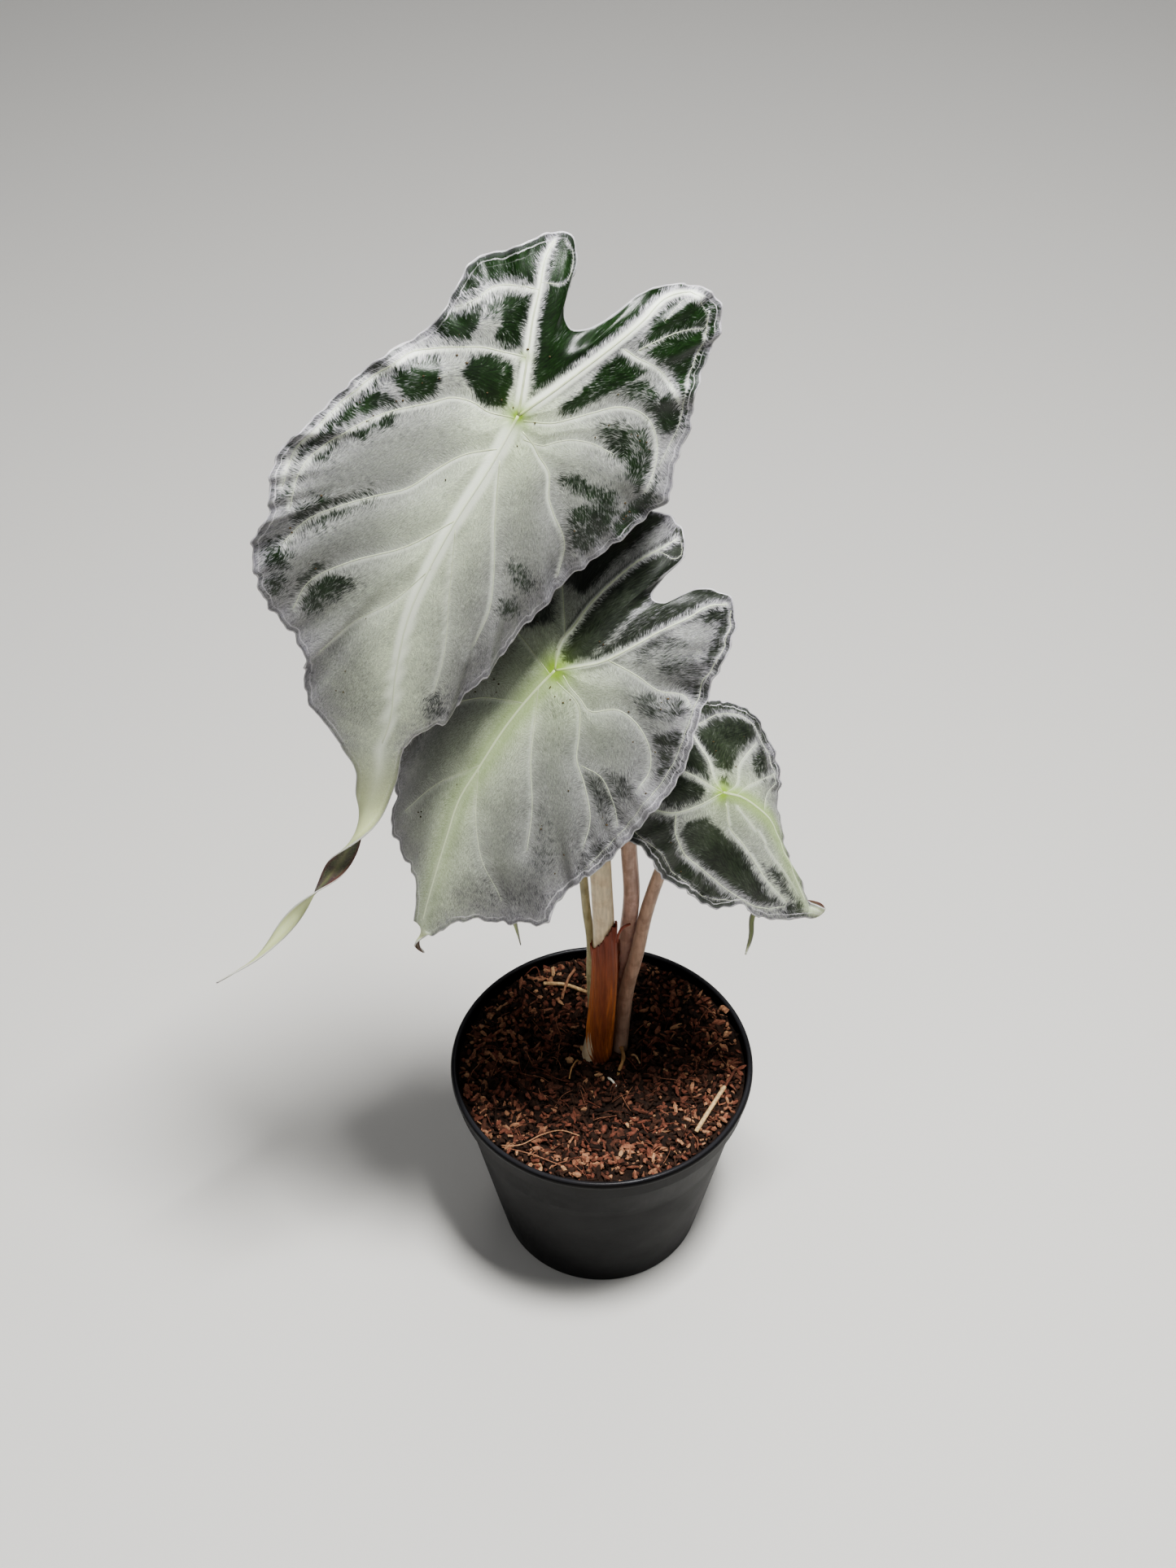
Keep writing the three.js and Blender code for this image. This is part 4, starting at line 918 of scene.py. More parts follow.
def bladeHeight(leaf, u, v, edge, place):
    # arched along the midrib, folded across it, waved at the margin and puffed up between veins
    arch = v**2 / (2 * np.where(v > 0, *leaf["arch"]))
    side = u - smoothThrough([[y, x] for x, y in leaf["midrib"]], v)
    slope, roundness = leaf["fold"]
    roof = slope * (np.hypot(side, roundness) - roundness)
    free = freeShare(edge, place, 0.55)
    size, waves = leaf["ruffle"]
    turn = 2 * np.pi * waves * place
    size = size * (1 - 0.85 * sinusShare(leaf, u, v))
    wave = size * (np.sin(turn) + 0.5 * np.sin(1.7 * turn + 1))
    frill = 0.4 * size * free**2 * np.sin(3.1 * turn + 3 * np.sin(5 * place * 2 * np.pi))
    swell = 1 - np.exp(-((toVein(leaf, u, v, swellRib) / 4.5) ** 2))
    puff = leaf["puff"] * swell * smoothstep(1 - edge, 0.0, 0.25)
    ridge = 0.6 * np.exp(-((toVein(leaf, u, v, firmRib) / 2.0) ** 2))
    return -arch - roof - free * (leaf["curl"] * free - wave) + puff + frill + ridge


def bladePoints(leaf, u, v, edge, place):
    turn = 2 * np.pi * leaf["ruffle"][1] * place
    teeth = np.sin(3.7 * turn) + 0.6 * np.sin(6.1 * turn + 2)
    scallop = 1 + leaf["scallop"] * freeShare(edge, place, 0.88) * teeth
    flat = np.stack([u * scallop, v * scallop, bladeHeight(leaf, u, v, edge, place)], axis=1)
    return np.array(leaf["junction"]) + flat @ bladeAxes(leaf)


def bladeFields(leaf, u, v, rim):
    # what the leaf materials read: felt, pale ribs with painted highlights on the fine ones, glow, the
    # strokes' grain and the margin
    centre, less = leaf["silver"]
    outer = np.exp(-rim / marginReach)
    midAway, midShare = nearLine(leaf["midrib"], u, v)[:2]
    away = np.minimum(midAway / warmReach[0], np.hypot(u, v) / warmReach[1])
    warm = np.exp(-(away**2))
    silver = centre - less * outer + 0.5 * warm
    dark, nearWindow = np.zeros(len(u)), np.zeros(len(u))
    for depth, outline in leaf["windows"]:
        inside = insideBy(np.array(outline, float), u, v)
        dark = np.maximum(dark, depth * smoothstep(inside, *windowEdge))
        clear = 0.8 * smoothstep(depth, 0.4, 0.9)
        edge = smoothstep(inside, -6, 0) * (1 - clear * smoothstep(inside, 0.5, 3.5))
        nearWindow = np.maximum(nearWindow, edge * min(1, 0.55 + depth))
    silver -= dark * (leaf["windowDepth"] + 0.5 * warm)
    ribs, onRib = np.zeros(len(u)), np.full(len(u), -20.0)
    bearing = np.arctan2(v, u)
    outward = np.stack([np.cos(2 * bearing), np.sin(2 * bearing)], 1)
    grain = 1.5 * np.exp(-rim / strokeReach[0])[:, None] * outward
    for band, radius, line in veinsOf(leaf):
        away, share, heading, side = nearLine(line, u, v)
        isMidrib = line is leaf["midrib"]
        taper = 0.62 if radius > firmRib and not isMidrib else 0.4
        width = 0.95 * band * (1 - taper * share)
        if radius > firmRib:  # the midrib and the lobes' ribs are firm bands
            onRib = np.maximum(onRib, width - away)
            light = leaf["midribLight" if isMidrib else "ribLight"]
            ribs = np.maximum(ribs, light * (1 - smoothstep(away, 0.5 * width, 1.15 * width)))
        else:  # the others are hazy, with a painted highlight: a pale line on the side towards the tip, where the raised rib catches the light
            silver = np.maximum(silver, 0.6 + 0.45 * band - away / (hazeReach * min(1, band)))
            onRib = np.maximum(onRib, np.minimum(width - away, 0) - 3.2)
            tipward = away * side * np.where(np.cos(heading) < 0, -1, 1)
            paintedHighlight = np.exp(-(((tipward - 0.45) / 0.6) ** 2)) * (1 - 0.4 * share)
            ribs = np.maximum(ribs, leaf["ribLight"] * min(1, 0.45 * band) * paintedHighlight)
        barb = 2 * (heading + side * barbLean)
        close = 6 * np.exp(-((away / (width + 1.5)) ** 2))
        far = np.exp(-away / strokeReach[1])
        grain += close[:, None] * np.stack([np.cos(barb), np.sin(barb)], 1)
        grain += far[:, None] * np.stack([np.cos(2 * heading), np.sin(2 * heading)], 1)
    atJunction, alongRib, reach = leaf["glow"]
    glow = atJunction * np.exp(-((np.hypot(u, v) / reach) ** 2))
    glow += 0.16 * np.exp(-((np.hypot(u - 3, v - 5) / (3 * reach)) ** 2))
    glow = np.maximum(glow, alongRib * np.exp(-((midAway / (0.9 * reach)) ** 2)) * (1 - 0.7 * midShare))
    for x, y in leaf["dots"]:
        glow = np.maximum(glow, 0.7 * np.exp(-((np.hypot(u - x, v - y) / 1.6) ** 2)))
    plain = sinusShare(leaf, u, v)
    return {
        "flat": np.stack([u, v, outer], 1),
        "field": np.stack([silver, ribs, glow], 1),
        "grain": np.column_stack([unit(grain), np.zeros(len(u))]),
        "border": np.stack([rim, 1 - plain, np.zeros(len(u))], 1),
        "zone": np.stack([warm, onRib, leaf["combed"] * nearWindow], 1),
    }


def tailPoints(leaf, neck, across, share):
    # the twisted tail carries on from the neck, whose left, middle and right points are given
    tail = leaf["tail"]
    left, middle, right = neck
    centre = curveThrough([middle, *tail["path"]], tail["rows"] + 1)
    tangent, side, up = framesAlong(centre, right - left)
    i = np.rint(share * tail["rows"]).astype(int)
    turn = np.radians(smoothThrough(tail["twist"], share))[:, None]
    wide = side[i] * np.cos(turn) + up[i] * np.sin(turn)
    thick = np.cross(tangent[i], wide)
    half = (smoothThrough(tail["widths"], share) / 2)[:, None]
    gutter = 0.28 * smoothstep(share, 0, 0.15)[:, None] * half * (across**2)[:, None]
    return centre[i] + wide * half * across[:, None] - thick * gutter, half[:, 0] * (1 - np.abs(across))


def neckOf(margin):
    return margin[-neckColumns - 1 :][::-1]  # from the left of the blade to its right


def flatBlade(name, leaf, materials):
    # the blade spread out flat with its tail as a strip: each corner is tagged with its place
    margin, share = marginOf(leaf)
    neck = neckOf(margin)
    columns, rows = leaf["grid"]
    bm = bmesh.new()
    layers = [bm.verts.layers.float.new(key) for key in tags]

    def tag(vert, *values):
        for layer, value in zip(layers, values):
            vert[layer] = value

    for vert in bmesh.ops.create_grid(bm, x_segments=columns, y_segments=rows, size=1)["verts"]:
        column = round((vert.co.x + 1) / 2 * columns)
        out = (vert.co.y + 1) / 2
        vert.co = (*(margin[column] * out), 0)
        tag(vert, out, share[column], 0, 0)
    steps = leaf["tail"]["rows"]
    for vert in bmesh.ops.create_grid(bm, x_segments=neckColumns, y_segments=steps, size=1)["verts"]:
        across, along = vert.co.x, (vert.co.y + 1) / 2
        column = round((across + 1) / 2 * neckColumns)
        vert.co = (*(neck[column] + np.array([0, 200 * along])), 0)
        tag(vert, 1, 1, along, across)
    bmesh.ops.remove_doubles(bm, verts=bm.verts, dist=weldGap)
    bm.normal_update()
    bmesh.ops.reverse_faces(bm, faces=[face for face in bm.faces if face.normal.z > 0])
    return newObject(name + "_blade", bm, materials)


def takeTags(mesh):
    # the flat places of a blade's corners and their tags, which are then removed
    count = len(mesh.vertices)
    flat = np.zeros(3 * count)
    mesh.vertices.foreach_get("co", flat)
    found = [*flat.reshape(-1, 3)[:, :2].T]
    for key in tags:
        values = np.zeros(count)
        mesh.attributes[key].data.foreach_get("value", values)
        mesh.attributes.remove(mesh.attributes[key])
        found.append(values)
    return found


def buildBlade(name, leaf, materials):
    piece = flatBlade(name, leaf, materials)
    u, v, edge, place, along, across = takeTags(piece.data)
    neck = neckOf(marginOf(leaf)[0])
    middle = neckColumns // 2
    inTail = along > 1e-6
    v = np.where(inTail, neck[middle][1], v)
    points = bladePoints(leaf, u, v, edge, place)
    ones = np.ones(neckColumns + 1)
    neckPoints = bladePoints(leaf, *neck.T, ones, ones)
    ends = neckPoints[[0, middle, neckColumns]]
    rim = rimOf(leaf, u, v)
    fields = bladeFields(leaf, u, v, rim)
    points[inTail], rim[inTail] = tailPoints(leaf, ends, across[inTail], along[inTail])
    # the tail's first rows keep the curve of the blade's edge at the neck
    start = tailPoints(leaf, ends, np.linspace(-1, 1, neckColumns + 1), 0 * ones)[0]
    column = np.rint((across + 1) / 2 * neckColumns).astype(int)
    ease = smoothstep(along, 0, neckShare)
    points += (neckPoints - start)[column] * np.where(inTail, 1 - ease, 0)[:, None]
    # the blade's own look runs out into the tail
    stripe = 0.5 * np.exp(-((across / 0.3) ** 2))
    fields["field"] += ease[:, None] * (np.stack([1.6 + 0 * u, stripe, 0 * u], 1) - fields["field"])
    fields["flat"] += np.stack([0 * u, 150 * along, -0.8 * ease * fields["flat"][:, 2]], 1)
    fields["grain"][:, 2] = along
    fields["border"][:, 0] = rim
    fields["border"][:, 1] *= 1 - 0.6 * ease
    mesh = piece.data
    mesh.vertices.foreach_set("co", (points * mm).ravel())
    for key, values in fields.items():
        mesh.attributes.new(key, "FLOAT_VECTOR", "POINT").data.foreach_set("vector", values.ravel())
    mesh.update()
    mesh.shade_smooth()
    addWall(piece, bladeThickness, -1).material_offset = 1
    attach(piece, "root")
    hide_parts(name)


def addRib(bm, leaf, radius, line):
    # a firm rib: a thin line on the upper face and a round ridge below
    isMidrib = line is leaf["midrib"]
    length = np.linalg.norm(np.diff(curveThrough(line, 200), axis=0), axis=1).sum()
    steps = max(6, round(length / 1.6))
    flat = curveThrough(line, steps + 1)
    if isMidrib:  # it ends short of the neck
        flat = flat[:-2]
        steps -= 2
    centre = bladePoints(leaf, *flat.T, *reachAt(leaf, *flat.T))
    heading = unit(np.gradient(centre, axis=0))
    side = unit(np.cross(bladeAxes(leaf)[2], heading))
    up = np.cross(heading, side)
    size = radius * (1 - 0.55 * np.linspace(0, 1, steps + 1))

    def place(x, y):
        i = np.rint(y * steps).astype(int)
        turn = 2 * np.pi * x
        tall = np.where(np.sin(turn) < 0, bladeThickness + 1.1 * size[i], 0.12 * size[i] + 0.02)
        wide = side[i] * (0.42 * size[i] * np.cos(turn))[:, None]
        return centre[i] + wide + up[i] * (tall * np.sin(turn))[:, None]

    made, shares = warpedGrid(bm, 10 if radius > 0.6 else 8, steps, place)
    layer = bm.verts.layers.float_vector["field"]
    atJunction, alongRib, reach = leaf["glow"]
    for vert, (x, y) in zip(made, shares):
        away = math.hypot(*flat[round(y * steps)]) / reach
        glow = atJunction * math.exp(-(away**2))
        if isMidrib:
            glow = max(glow, 0.7 * alongRib * (1 - 0.6 * y))
        under = float(math.sin(2 * math.pi * x) < -0.3)
        vert[layer] = (under, 0.2 if isMidrib else 1 - 0.6 * y, glow)
    closeSeams(bm, made)


def buildRibs(name, leaf, material):
    bm = bmesh.new()
    bm.verts.layers.float_vector.new("field")
    for band, radius, line in veinsOf(leaf):
        addRib(bm, leaf, radius, line)
    finishPiece(name + "_ribs", bm, [material])


# Stems

stems = {
    "petiole_large": {
        "leaf": "leaf_large",
        "slot": "stem_pale",
        "colours": ("#e0cfb0", "#c9b090", "#a89e74"),  # stalk, blotches and head
        "radii": (4.4, 3.1),  # at the foot and at the head
        "flare": 2.9,  # how far the clasping foot spreads
        "path": [
            [-1.4, 10.8, 82], [0.9, 6, 138], [0.4, 6, 166], [-1, 6, 199], [-4, 14, 265], [-9, 26, 318],
            [-15, 29, 350], [-22, 14, 384], [-26, -5, 401],
        ],
    },
    "petiole_medium": {
        "leaf": "leaf_medium",
        "slot": "stem_mottled",
        "colours": ("#c2a294", "#a08170", "#948760"),
        "radii": (3.4, 2.7),
        "flare": 0.6,
        "path": [
            [4.5, 24, 82], [9.2, 18, 144], [10.7, 12, 178], [9.4, 12, 202], [8, 8, 235], [2, -2, 270],
        ],
    },
    "petiole_small": {
        "leaf": "leaf_small",
        "slot": "stem_olive",
        "colours": ("#b79a86", "#977a6a", "#8a825c"),
        "radii": (3.1, 2.1),
        "flare": 0.5,
        "path": [
            [7.6, 15, 82], [9.7, 15, 118], [13.4, 13, 144], [16.6, 11, 170], [21.6, 8, 197], [29, 4, 227],
        ],
    },
    "petiole_hidden": {
        "leaf": "leaf_hidden",
        "slot": "stem_olive",
        "colours": ("#b3aa86", "#938a68", "#84904f"),
        "radii": (1.8, 1.6),
        "flare": 0.3,
        "path": [
            [-3, 20.5, 82], [-4.4, 15, 129], [-4.4, 15, 148], [-6, 14, 167], [-8, 16, 190], [-14, 21, 220],
        ],
    },
}
stemFoot = (73.3, 77)  # heights in the corm at which every stem starts
stemHead = (9, 4, 0.6)  # distances behind its blade at which every stem ends


def makeStemMaterial(name, colours):
    # Fleshy leaf stalk: moist green tissue under a smooth skin, mottled towards the foot
    main, blotch, head = colours
    material, tree, shader = newMaterial(name)
    place = addNode(tree, "ShaderNodeTexCoord").outputs["Object"]
    height = addNode(tree, "ShaderNodeSeparateXYZ", [place]).outputs["Z"]
    long = addNode(tree, "ShaderNodeMapping", {"Vector": place, "Scale": (1, 1, 0.16)})
    streaks = addNode(tree, "ShaderNodeTexNoise", {"Vector": long, "Scale": 900.0, "Detail": 4.0})
    mottled = {"Vector": place, "Scale": 160.0, "Detail": 4.0, "Roughness": 0.6}
    patches = addNode(tree, "ShaderNodeTexNoise", mottled)
    upper = addNode(tree, "ShaderNodeMapRange", [height, 0.18, 0.32])
    colour = addNode(tree, "ShaderNodeMix", [upper, main, head], data_type="RGBA")
    spread = [patches, 0.46, 0.62, 0.0, 0.6]
    spots = addNode(tree, "ShaderNodeMapRange", spread, interpolation_type="SMOOTHSTEP")
    colour = addNode(tree, "ShaderNodeMix", [spots, colour, blotch], data_type="RGBA")
    shade = addNode(tree, "ShaderNodeMapRange", [streaks, 0.3, 0.7, 0.8, 1.12])
    colour = addNode(tree, "ShaderNodeVectorMath", {"Vector": colour, "Scale": shade}, operation="SCALE")
    fill(tree, shader, {
        "Base Color": colour,
        "Roughness": 0.38,
        "IOR": 1.4,
        "Subsurface Weight": 0.15,
        "Subsurface Radius": (1.0, 0.8, 0.4),
        "Subsurface Scale": 0.002,
        "Normal": addNode(tree, "ShaderNodeBump", {"Height": streaks, "Strength": 0.3, "Distance": 0.0003}),
    })
    return material


def stemPath(stem):
    blade = leaves[stem["leaf"]]
    out = bladeAxes(blade)[2]
    x, y = stem["path"][0][:2]
    foot = [[x, y, z] for z in stemFoot]
    return [*foot, *stem["path"], *(np.array(blade["junction"]) - out * depth for depth in stemHead)]


def buildStem(name, stem):
    material = makeStemMaterial(name + "_skin", stem["colours"])
    foot, head = stem["radii"]

    def radius(share, turn):
        size = foot + (head - foot) * share
        flare = stem["flare"] * np.exp(-((share / 0.075) ** 2)) * (0.5 - 0.5 * np.cos(turn)) ** 3
        collar = 0.25 * head * np.exp(-(((1 - share) / 0.02) ** 2))
        ridges = 0.012 * size * (np.cos(7 * turn) + 0.6 * np.cos(13 * turn + 9 * share))
        return size + flare + collar + ridges

    bm = bmesh.new()
    addTube(bm, stemPath(stem), radius, 28, 130)
    finishPiece(name + "_stalk", bm, [material], [name])


# Old sheaths

sheaths = {
    "dry_sheath": {
        "stem": "petiole_large",
        "from": 84.8,
        "to": 171,
        "cover": 300,  # degrees round the stem
        "facing": -60,
        "open": 105,  # degrees by which its left edge stands back at the foot
        "notch": 0.165,  # how much lower its top is away from the peak
        "rot": 0.0,  # how dark it has gone
        "threads": [(0.35, [[5.4, 2.5, 162], [6.2, 2, 168], [7.8, 1.5, 171.5], [10, 1, 173.5]])],
        "grid": (110, 60),
    },
    "dry_sheath_scrap": {
        "stem": "petiole_medium",
        "from": 112,
        "to": 149,
        "cover": 120,
        "facing": -170,
        "open": 0,
        "notch": 0.6,
        "rot": 0.5,
        "threads": [],
        "grid": (40, 36),
    },
}
sheathLook = {"papery": "#8e4630", "amber": "#c87a40", "dark": "#54291b", "thickness": 0.35}


def makeSheathMaterial(name, rot):
    # Dried leaf base: thin papery skin, split into long fibres, dull with a little sheen
    look = sheathLook
    material, tree, shader = newMaterial(name)
    place = addNode(tree, "ShaderNodeTexCoord").outputs["Object"]
    height = addNode(tree, "ShaderNodeSeparateXYZ", [place]).outputs["Z"]
    long = addNode(tree, "ShaderNodeMapping", {"Vector": place, "Scale": (1, 1, 0.07)})
    fibres = addNode(tree, "ShaderNodeTexNoise", {"Vector": long, "Scale": 1500.0, "Detail": 4.0})
    patches = addNode(tree, "ShaderNodeTexNoise", {"Vector": long, "Scale": 170.0, "Detail": 3.0})
    low = addNode(tree, "ShaderNodeMapRange", [height, 0.16, 0.12])
    amber = addNode(tree, "ShaderNodeMapRange", [patches, 0.2, 0.55])
    amber = addNode(tree, "ShaderNodeMath", [amber, low], operation="MULTIPLY")
    colour = addNode(tree, "ShaderNodeMix", [amber, look["papery"], look["amber"]], data_type="RGBA")
    rotten = addNode(tree, "ShaderNodeMapRange", [patches, 0.55, 0.35, rot, 0.45])
    colour = addNode(tree, "ShaderNodeMix", [rotten, colour, look["dark"]], data_type="RGBA")
    foot = addNode(tree, "ShaderNodeMapRange", [height, 0.093, 0.086, 0.0, 0.7])
    colour = addNode(tree, "ShaderNodeMix", [foot, colour, look["dark"]], data_type="RGBA")
    shade = addNode(tree, "ShaderNodeMapRange", [fibres, 0.3, 0.7, 0.75, 1.2])
    colour = addNode(tree, "ShaderNodeVectorMath", {"Vector": colour, "Scale": shade}, operation="SCALE")
    fill(tree, shader, {
        "Base Color": colour,
        "Roughness": 0.62,
        "Normal": addNode(tree, "ShaderNodeBump", {"Height": fibres, "Strength": 0.5, "Distance": 0.0004}),
    })
    return material


def buildSheath(name, sheath):
    stem = stems[sheath["stem"]]
    curve = curveThrough(stemPath(stem), 400)
    base = max(stem["radii"]) - 0.05
    low, high = sheath["from"], sheath["to"]

    def place(x, y):
        back = sheath["open"] * (1 - y) ** 4 * (1 - x) ** 2
        turn = np.radians(sheath["facing"] + sheath["cover"] * (x - 0.5) + back)
        ragged = 0.005 * np.sin(30 * x) + 0.004 * np.sin(90 * x + 1) + 0.003 * np.sin(210 * x + 2)
        tall = 1 - sheath["notch"] * smoothstep(np.abs(x - 0.62), 0.02, 0.5) + ragged - 0.012
        z = low + (high - low) * np.minimum(tall, 1) * y
        middle = np.stack([np.interp(z, curve[:, 2], curve[:, i]) for i in (0, 1)], 1)
        crease = 0.22 * np.sin(70 * x + 3 * y) + 0.15 * np.sin(150 * x + 7 * y + 1)
        flare = 0.9 * (1 - y) + 0.9 * smoothstep(y, 0.8, 1.0) * np.sin(23 * x) ** 2
        curl = 1.1 * smoothstep(np.abs(x - 0.5), 0.44, 0.5) * (0.3 + 0.7 * y)
        away = (base + 0.6 * crease + flare + curl)[:, None]
        return np.column_stack([middle + away * np.stack([np.cos(turn), np.sin(turn)], 1), z])

    bm = bmesh.new()
    warpedGrid(bm, *sheath["grid"], place)
    for radius, path in sheath["threads"]:
        addTube(bm, path, radius, 6, 10)
    paper = makeSheathMaterial(name + "_paper", sheath["rot"])
    piece = finishPiece(name + "_husk", bm, [paper], [name], closed=False)
    addWall(piece, sheathLook["thickness"], 0)


# Pot

pot = {
    "height": 95,
    "rimRadius": 60,
    "baseRadius": 41.5,
    "wall": 1.1,
    "band": 11,  # height of the wider band under the rim
    "floor": 1.6,
    "steps": 144,
    "holes": 8,
    "holeRadius": 3.5,
    "holeCircle": 33,
    "plastic": "#050506",
    # the top of the rim, painted lighter grey as a highlight
    "lip": "#2c2c2f",
    "dust": "#221d1a",
}


def wallRadius(z):
    return pot["baseRadius"] + (pot["rimRadius"] - 3 - pot["baseRadius"]) * z / (pot["height"] - 9)


def makePotMaterial():
    # Polypropylene, injection moulded: near black, with a fine orange-peel skin and a soft gloss,
    # and a bloom of dust from the mix on the rim, whose top is painted lighter grey as a highlight
    material, tree, shader = newMaterial("mouldedPolypropylene")
    place = addNode(tree, "ShaderNodeTexCoord").outputs["Object"]
    height = addNode(tree, "ShaderNodeSeparateXYZ", [place]).outputs["Z"]
    skin = addNode(tree, "ShaderNodeTexNoise", {"Vector": place, "Scale": 1400.0, "Detail": 3.0})
    smeared = {"Vector": place, "Scale": 45.0, "Detail": 6.0, "Roughness": 0.65}
    smear = addNode(tree, "ShaderNodeTexNoise", smeared)
    top = addNode(tree, "ShaderNodeMapRange", [height, 0.07, 0.095, 0.0, 0.5])
    dusty = addNode(tree, "ShaderNodeMapRange", [smear, 0.48, 0.75])
    dusty = addNode(tree, "ShaderNodeMath", [dusty, top], operation="MULTIPLY")
    # painted highlight: a thin band at the top of the rim drawn lighter grey, where the light catches it
    wearAndRimHighlight = addNode(tree, "ShaderNodeMapRange", [height, 0.0942, 0.0949])
    colour = addNode(tree, "ShaderNodeMix", [wearAndRimHighlight, pot["plastic"], pot["lip"]], data_type="RGBA")
    colour = addNode(tree, "ShaderNodeMix", [dusty, colour, pot["dust"]], data_type="RGBA")
    rough = addNode(tree, "ShaderNodeMapRange", [smear, 0.3, 0.75, 0.44, 0.54])
    lip = addNode(tree, "ShaderNodeMapRange", [height, 0.0915, 0.0935, 0.0, 0.2])
    fill(tree, shader, {
        "Base Color": colour,
        "Roughness": addNode(tree, "ShaderNodeMath", [rough, lip], operation="SUBTRACT"),
        "IOR": 1.49,
        "Specular IOR Level": 0.12,
        "Normal": addNode(tree, "ShaderNodeBump", {"Height": skin, "Strength": 0.15, "Distance": 0.0002}),
    })
    return material


def potProfile():
    # radius and height, from the middle of the underside, over the rim, to the middle of the floor
    high, rim, foot, floor = pot["height"], pot["rimRadius"], pot["baseRadius"], pot["floor"]
    shoulder = high - pot["band"]
    wallHeights = [shoulder * share for share in (0.25, 0.5, 0.75, 1)]
    inner = {z: wallRadius(z) - pot["wall"] for z in (shoulder, 40, floor)}
    return [
        (0, 0.9), (foot - 5, 0.9), (foot - 3.4, 0.6), (foot - 2.6, 0), (foot - 1, 0), (foot - 0.3, 0.3),
        (foot, 1), *((wallRadius(z), z) for z in wallHeights),
        (rim - 2.0, shoulder + 0.1), (rim - 1.6, shoulder + 0.5), (rim - 1, high - 3.6),
        (rim - 0.4, high - 3.2), (rim - 0.05, high - 2.6), (rim, high - 1.7), (rim - 0.15, high - 0.9),
        (rim - 0.6, high - 0.25), (rim - 1.2, high), (rim - 1.8, high - 0.1), (rim - 2.3, high - 0.6),
        (rim - 2.5, high - 1.6), (rim - 2.7, shoulder + 2.2), (inner[shoulder], shoulder + 0.6),
        (inner[40], 40), (inner[floor] - 0.4, floor + 0.4), (inner[floor] - 1.2, floor), (0, floor),
    ]


def cutHoles(shell):
    # drills the drainage holes and leaves a clean mesh with no modifier
    bm = bmesh.new()
    for i in range(pot["holes"]):
        turn = 2 * math.pi * i / pot["holes"]
        spot = (pot["holeCircle"] * math.cos(turn), pot["holeCircle"] * math.sin(turn), pot["floor"] / 2)
        bmesh.ops.create_cone(
            bm,
            cap_ends=True,
            segments=24,
            radius1=pot["holeRadius"],
            radius2=pot["holeRadius"],
            depth=4 * pot["floor"],
            matrix=Matrix.Translation(spot),
        )
    bmesh.ops.scale(bm, vec=(mm, mm, mm), verts=bm.verts)
    cutter = newObject("drainCutters", bm)
    cut = shell.modifiers.new("drain", "BOOLEAN")
    cut.object = cutter
    cut.solver = "EXACT"
    evaluated = shell.evaluated_get(bpy.context.evaluated_depsgraph_get())
    mesh = bpy.data.meshes.new_from_object(evaluated)
    bm = bmesh.new()
    bm.from_mesh(mesh)
    bmesh.ops.remove_doubles(bm, verts=bm.verts, dist=5e-6)
    bmesh.ops.dissolve_degenerate(bm, edges=bm.edges, dist=5e-6)
    bm.to_mesh(mesh)
    bm.free()
    mesh.shade_smooth()
    shell.modifiers.clear()
    shell.data = mesh
    bpy.data.objects.remove(cutter)


def buildPot():
    bm = bmesh.new()
    verts = [bm.verts.new((r, 0, z)) for r, z in potProfile()]
    edges = [bm.edges.new(pair) for pair in zip(verts[:-1], verts[1:])]
    bmesh.ops.spin(
        bm,
        geom=verts + edges,
        cent=(0, 0, 0),
        axis=(0, 0, 1),
        angle=2 * math.pi,
        steps=pot["steps"],
        use_merge=True,
    )
    bmesh.ops.remove_doubles(bm, verts=bm.verts, dist=1e-3)
    cutHoles(finishPiece("pot_shell", bm, [makePotMaterial()], ["pot"]))


# Corm and roots

corm = {
    "place": (2, 17, 70),
    "radius": 12.5,
    "tall": 14.5,  # half its height
    "skin": "#5a3a26",
    "root": "#b08a5c",
    "tip": "#e8e2d0",
    # roots at the surface: radius, tint and path
    "roots": [
        (1.1, 0.5, [[5, 13, 70], [6.6, 14.6, 80], [7.6, 13.3, 86.4], [8.8, 7, 87], [6.8, 0.8, 85.2],
            [6, -2, 81]]),
        (0.8, 1.0, [[2.6, 8, 70], [2.4, 1.5, 79], [2.8, -2.4, 85.6], [4.3, -4.4, 86.4], [5.7, -6, 84.9]]),
        (0.6, 0.55, [[9, 12, 78], [11.5, 9.5, 85], [13.5, 8, 87], [15.5, 5, 85.5]]),
        (0.5, 0.5, [[-8, 10, 78], [-10, 6, 86], [-12, 2, 86.4], [-13, -2, 84.6]]),
    ],
    # roots in the mix: how many, radius, tint, and distances out with their heights
    "deep": (4, 1.2, 0.4, [(6, 57), (15, 51), (18, 39), (16, 25)]),
}


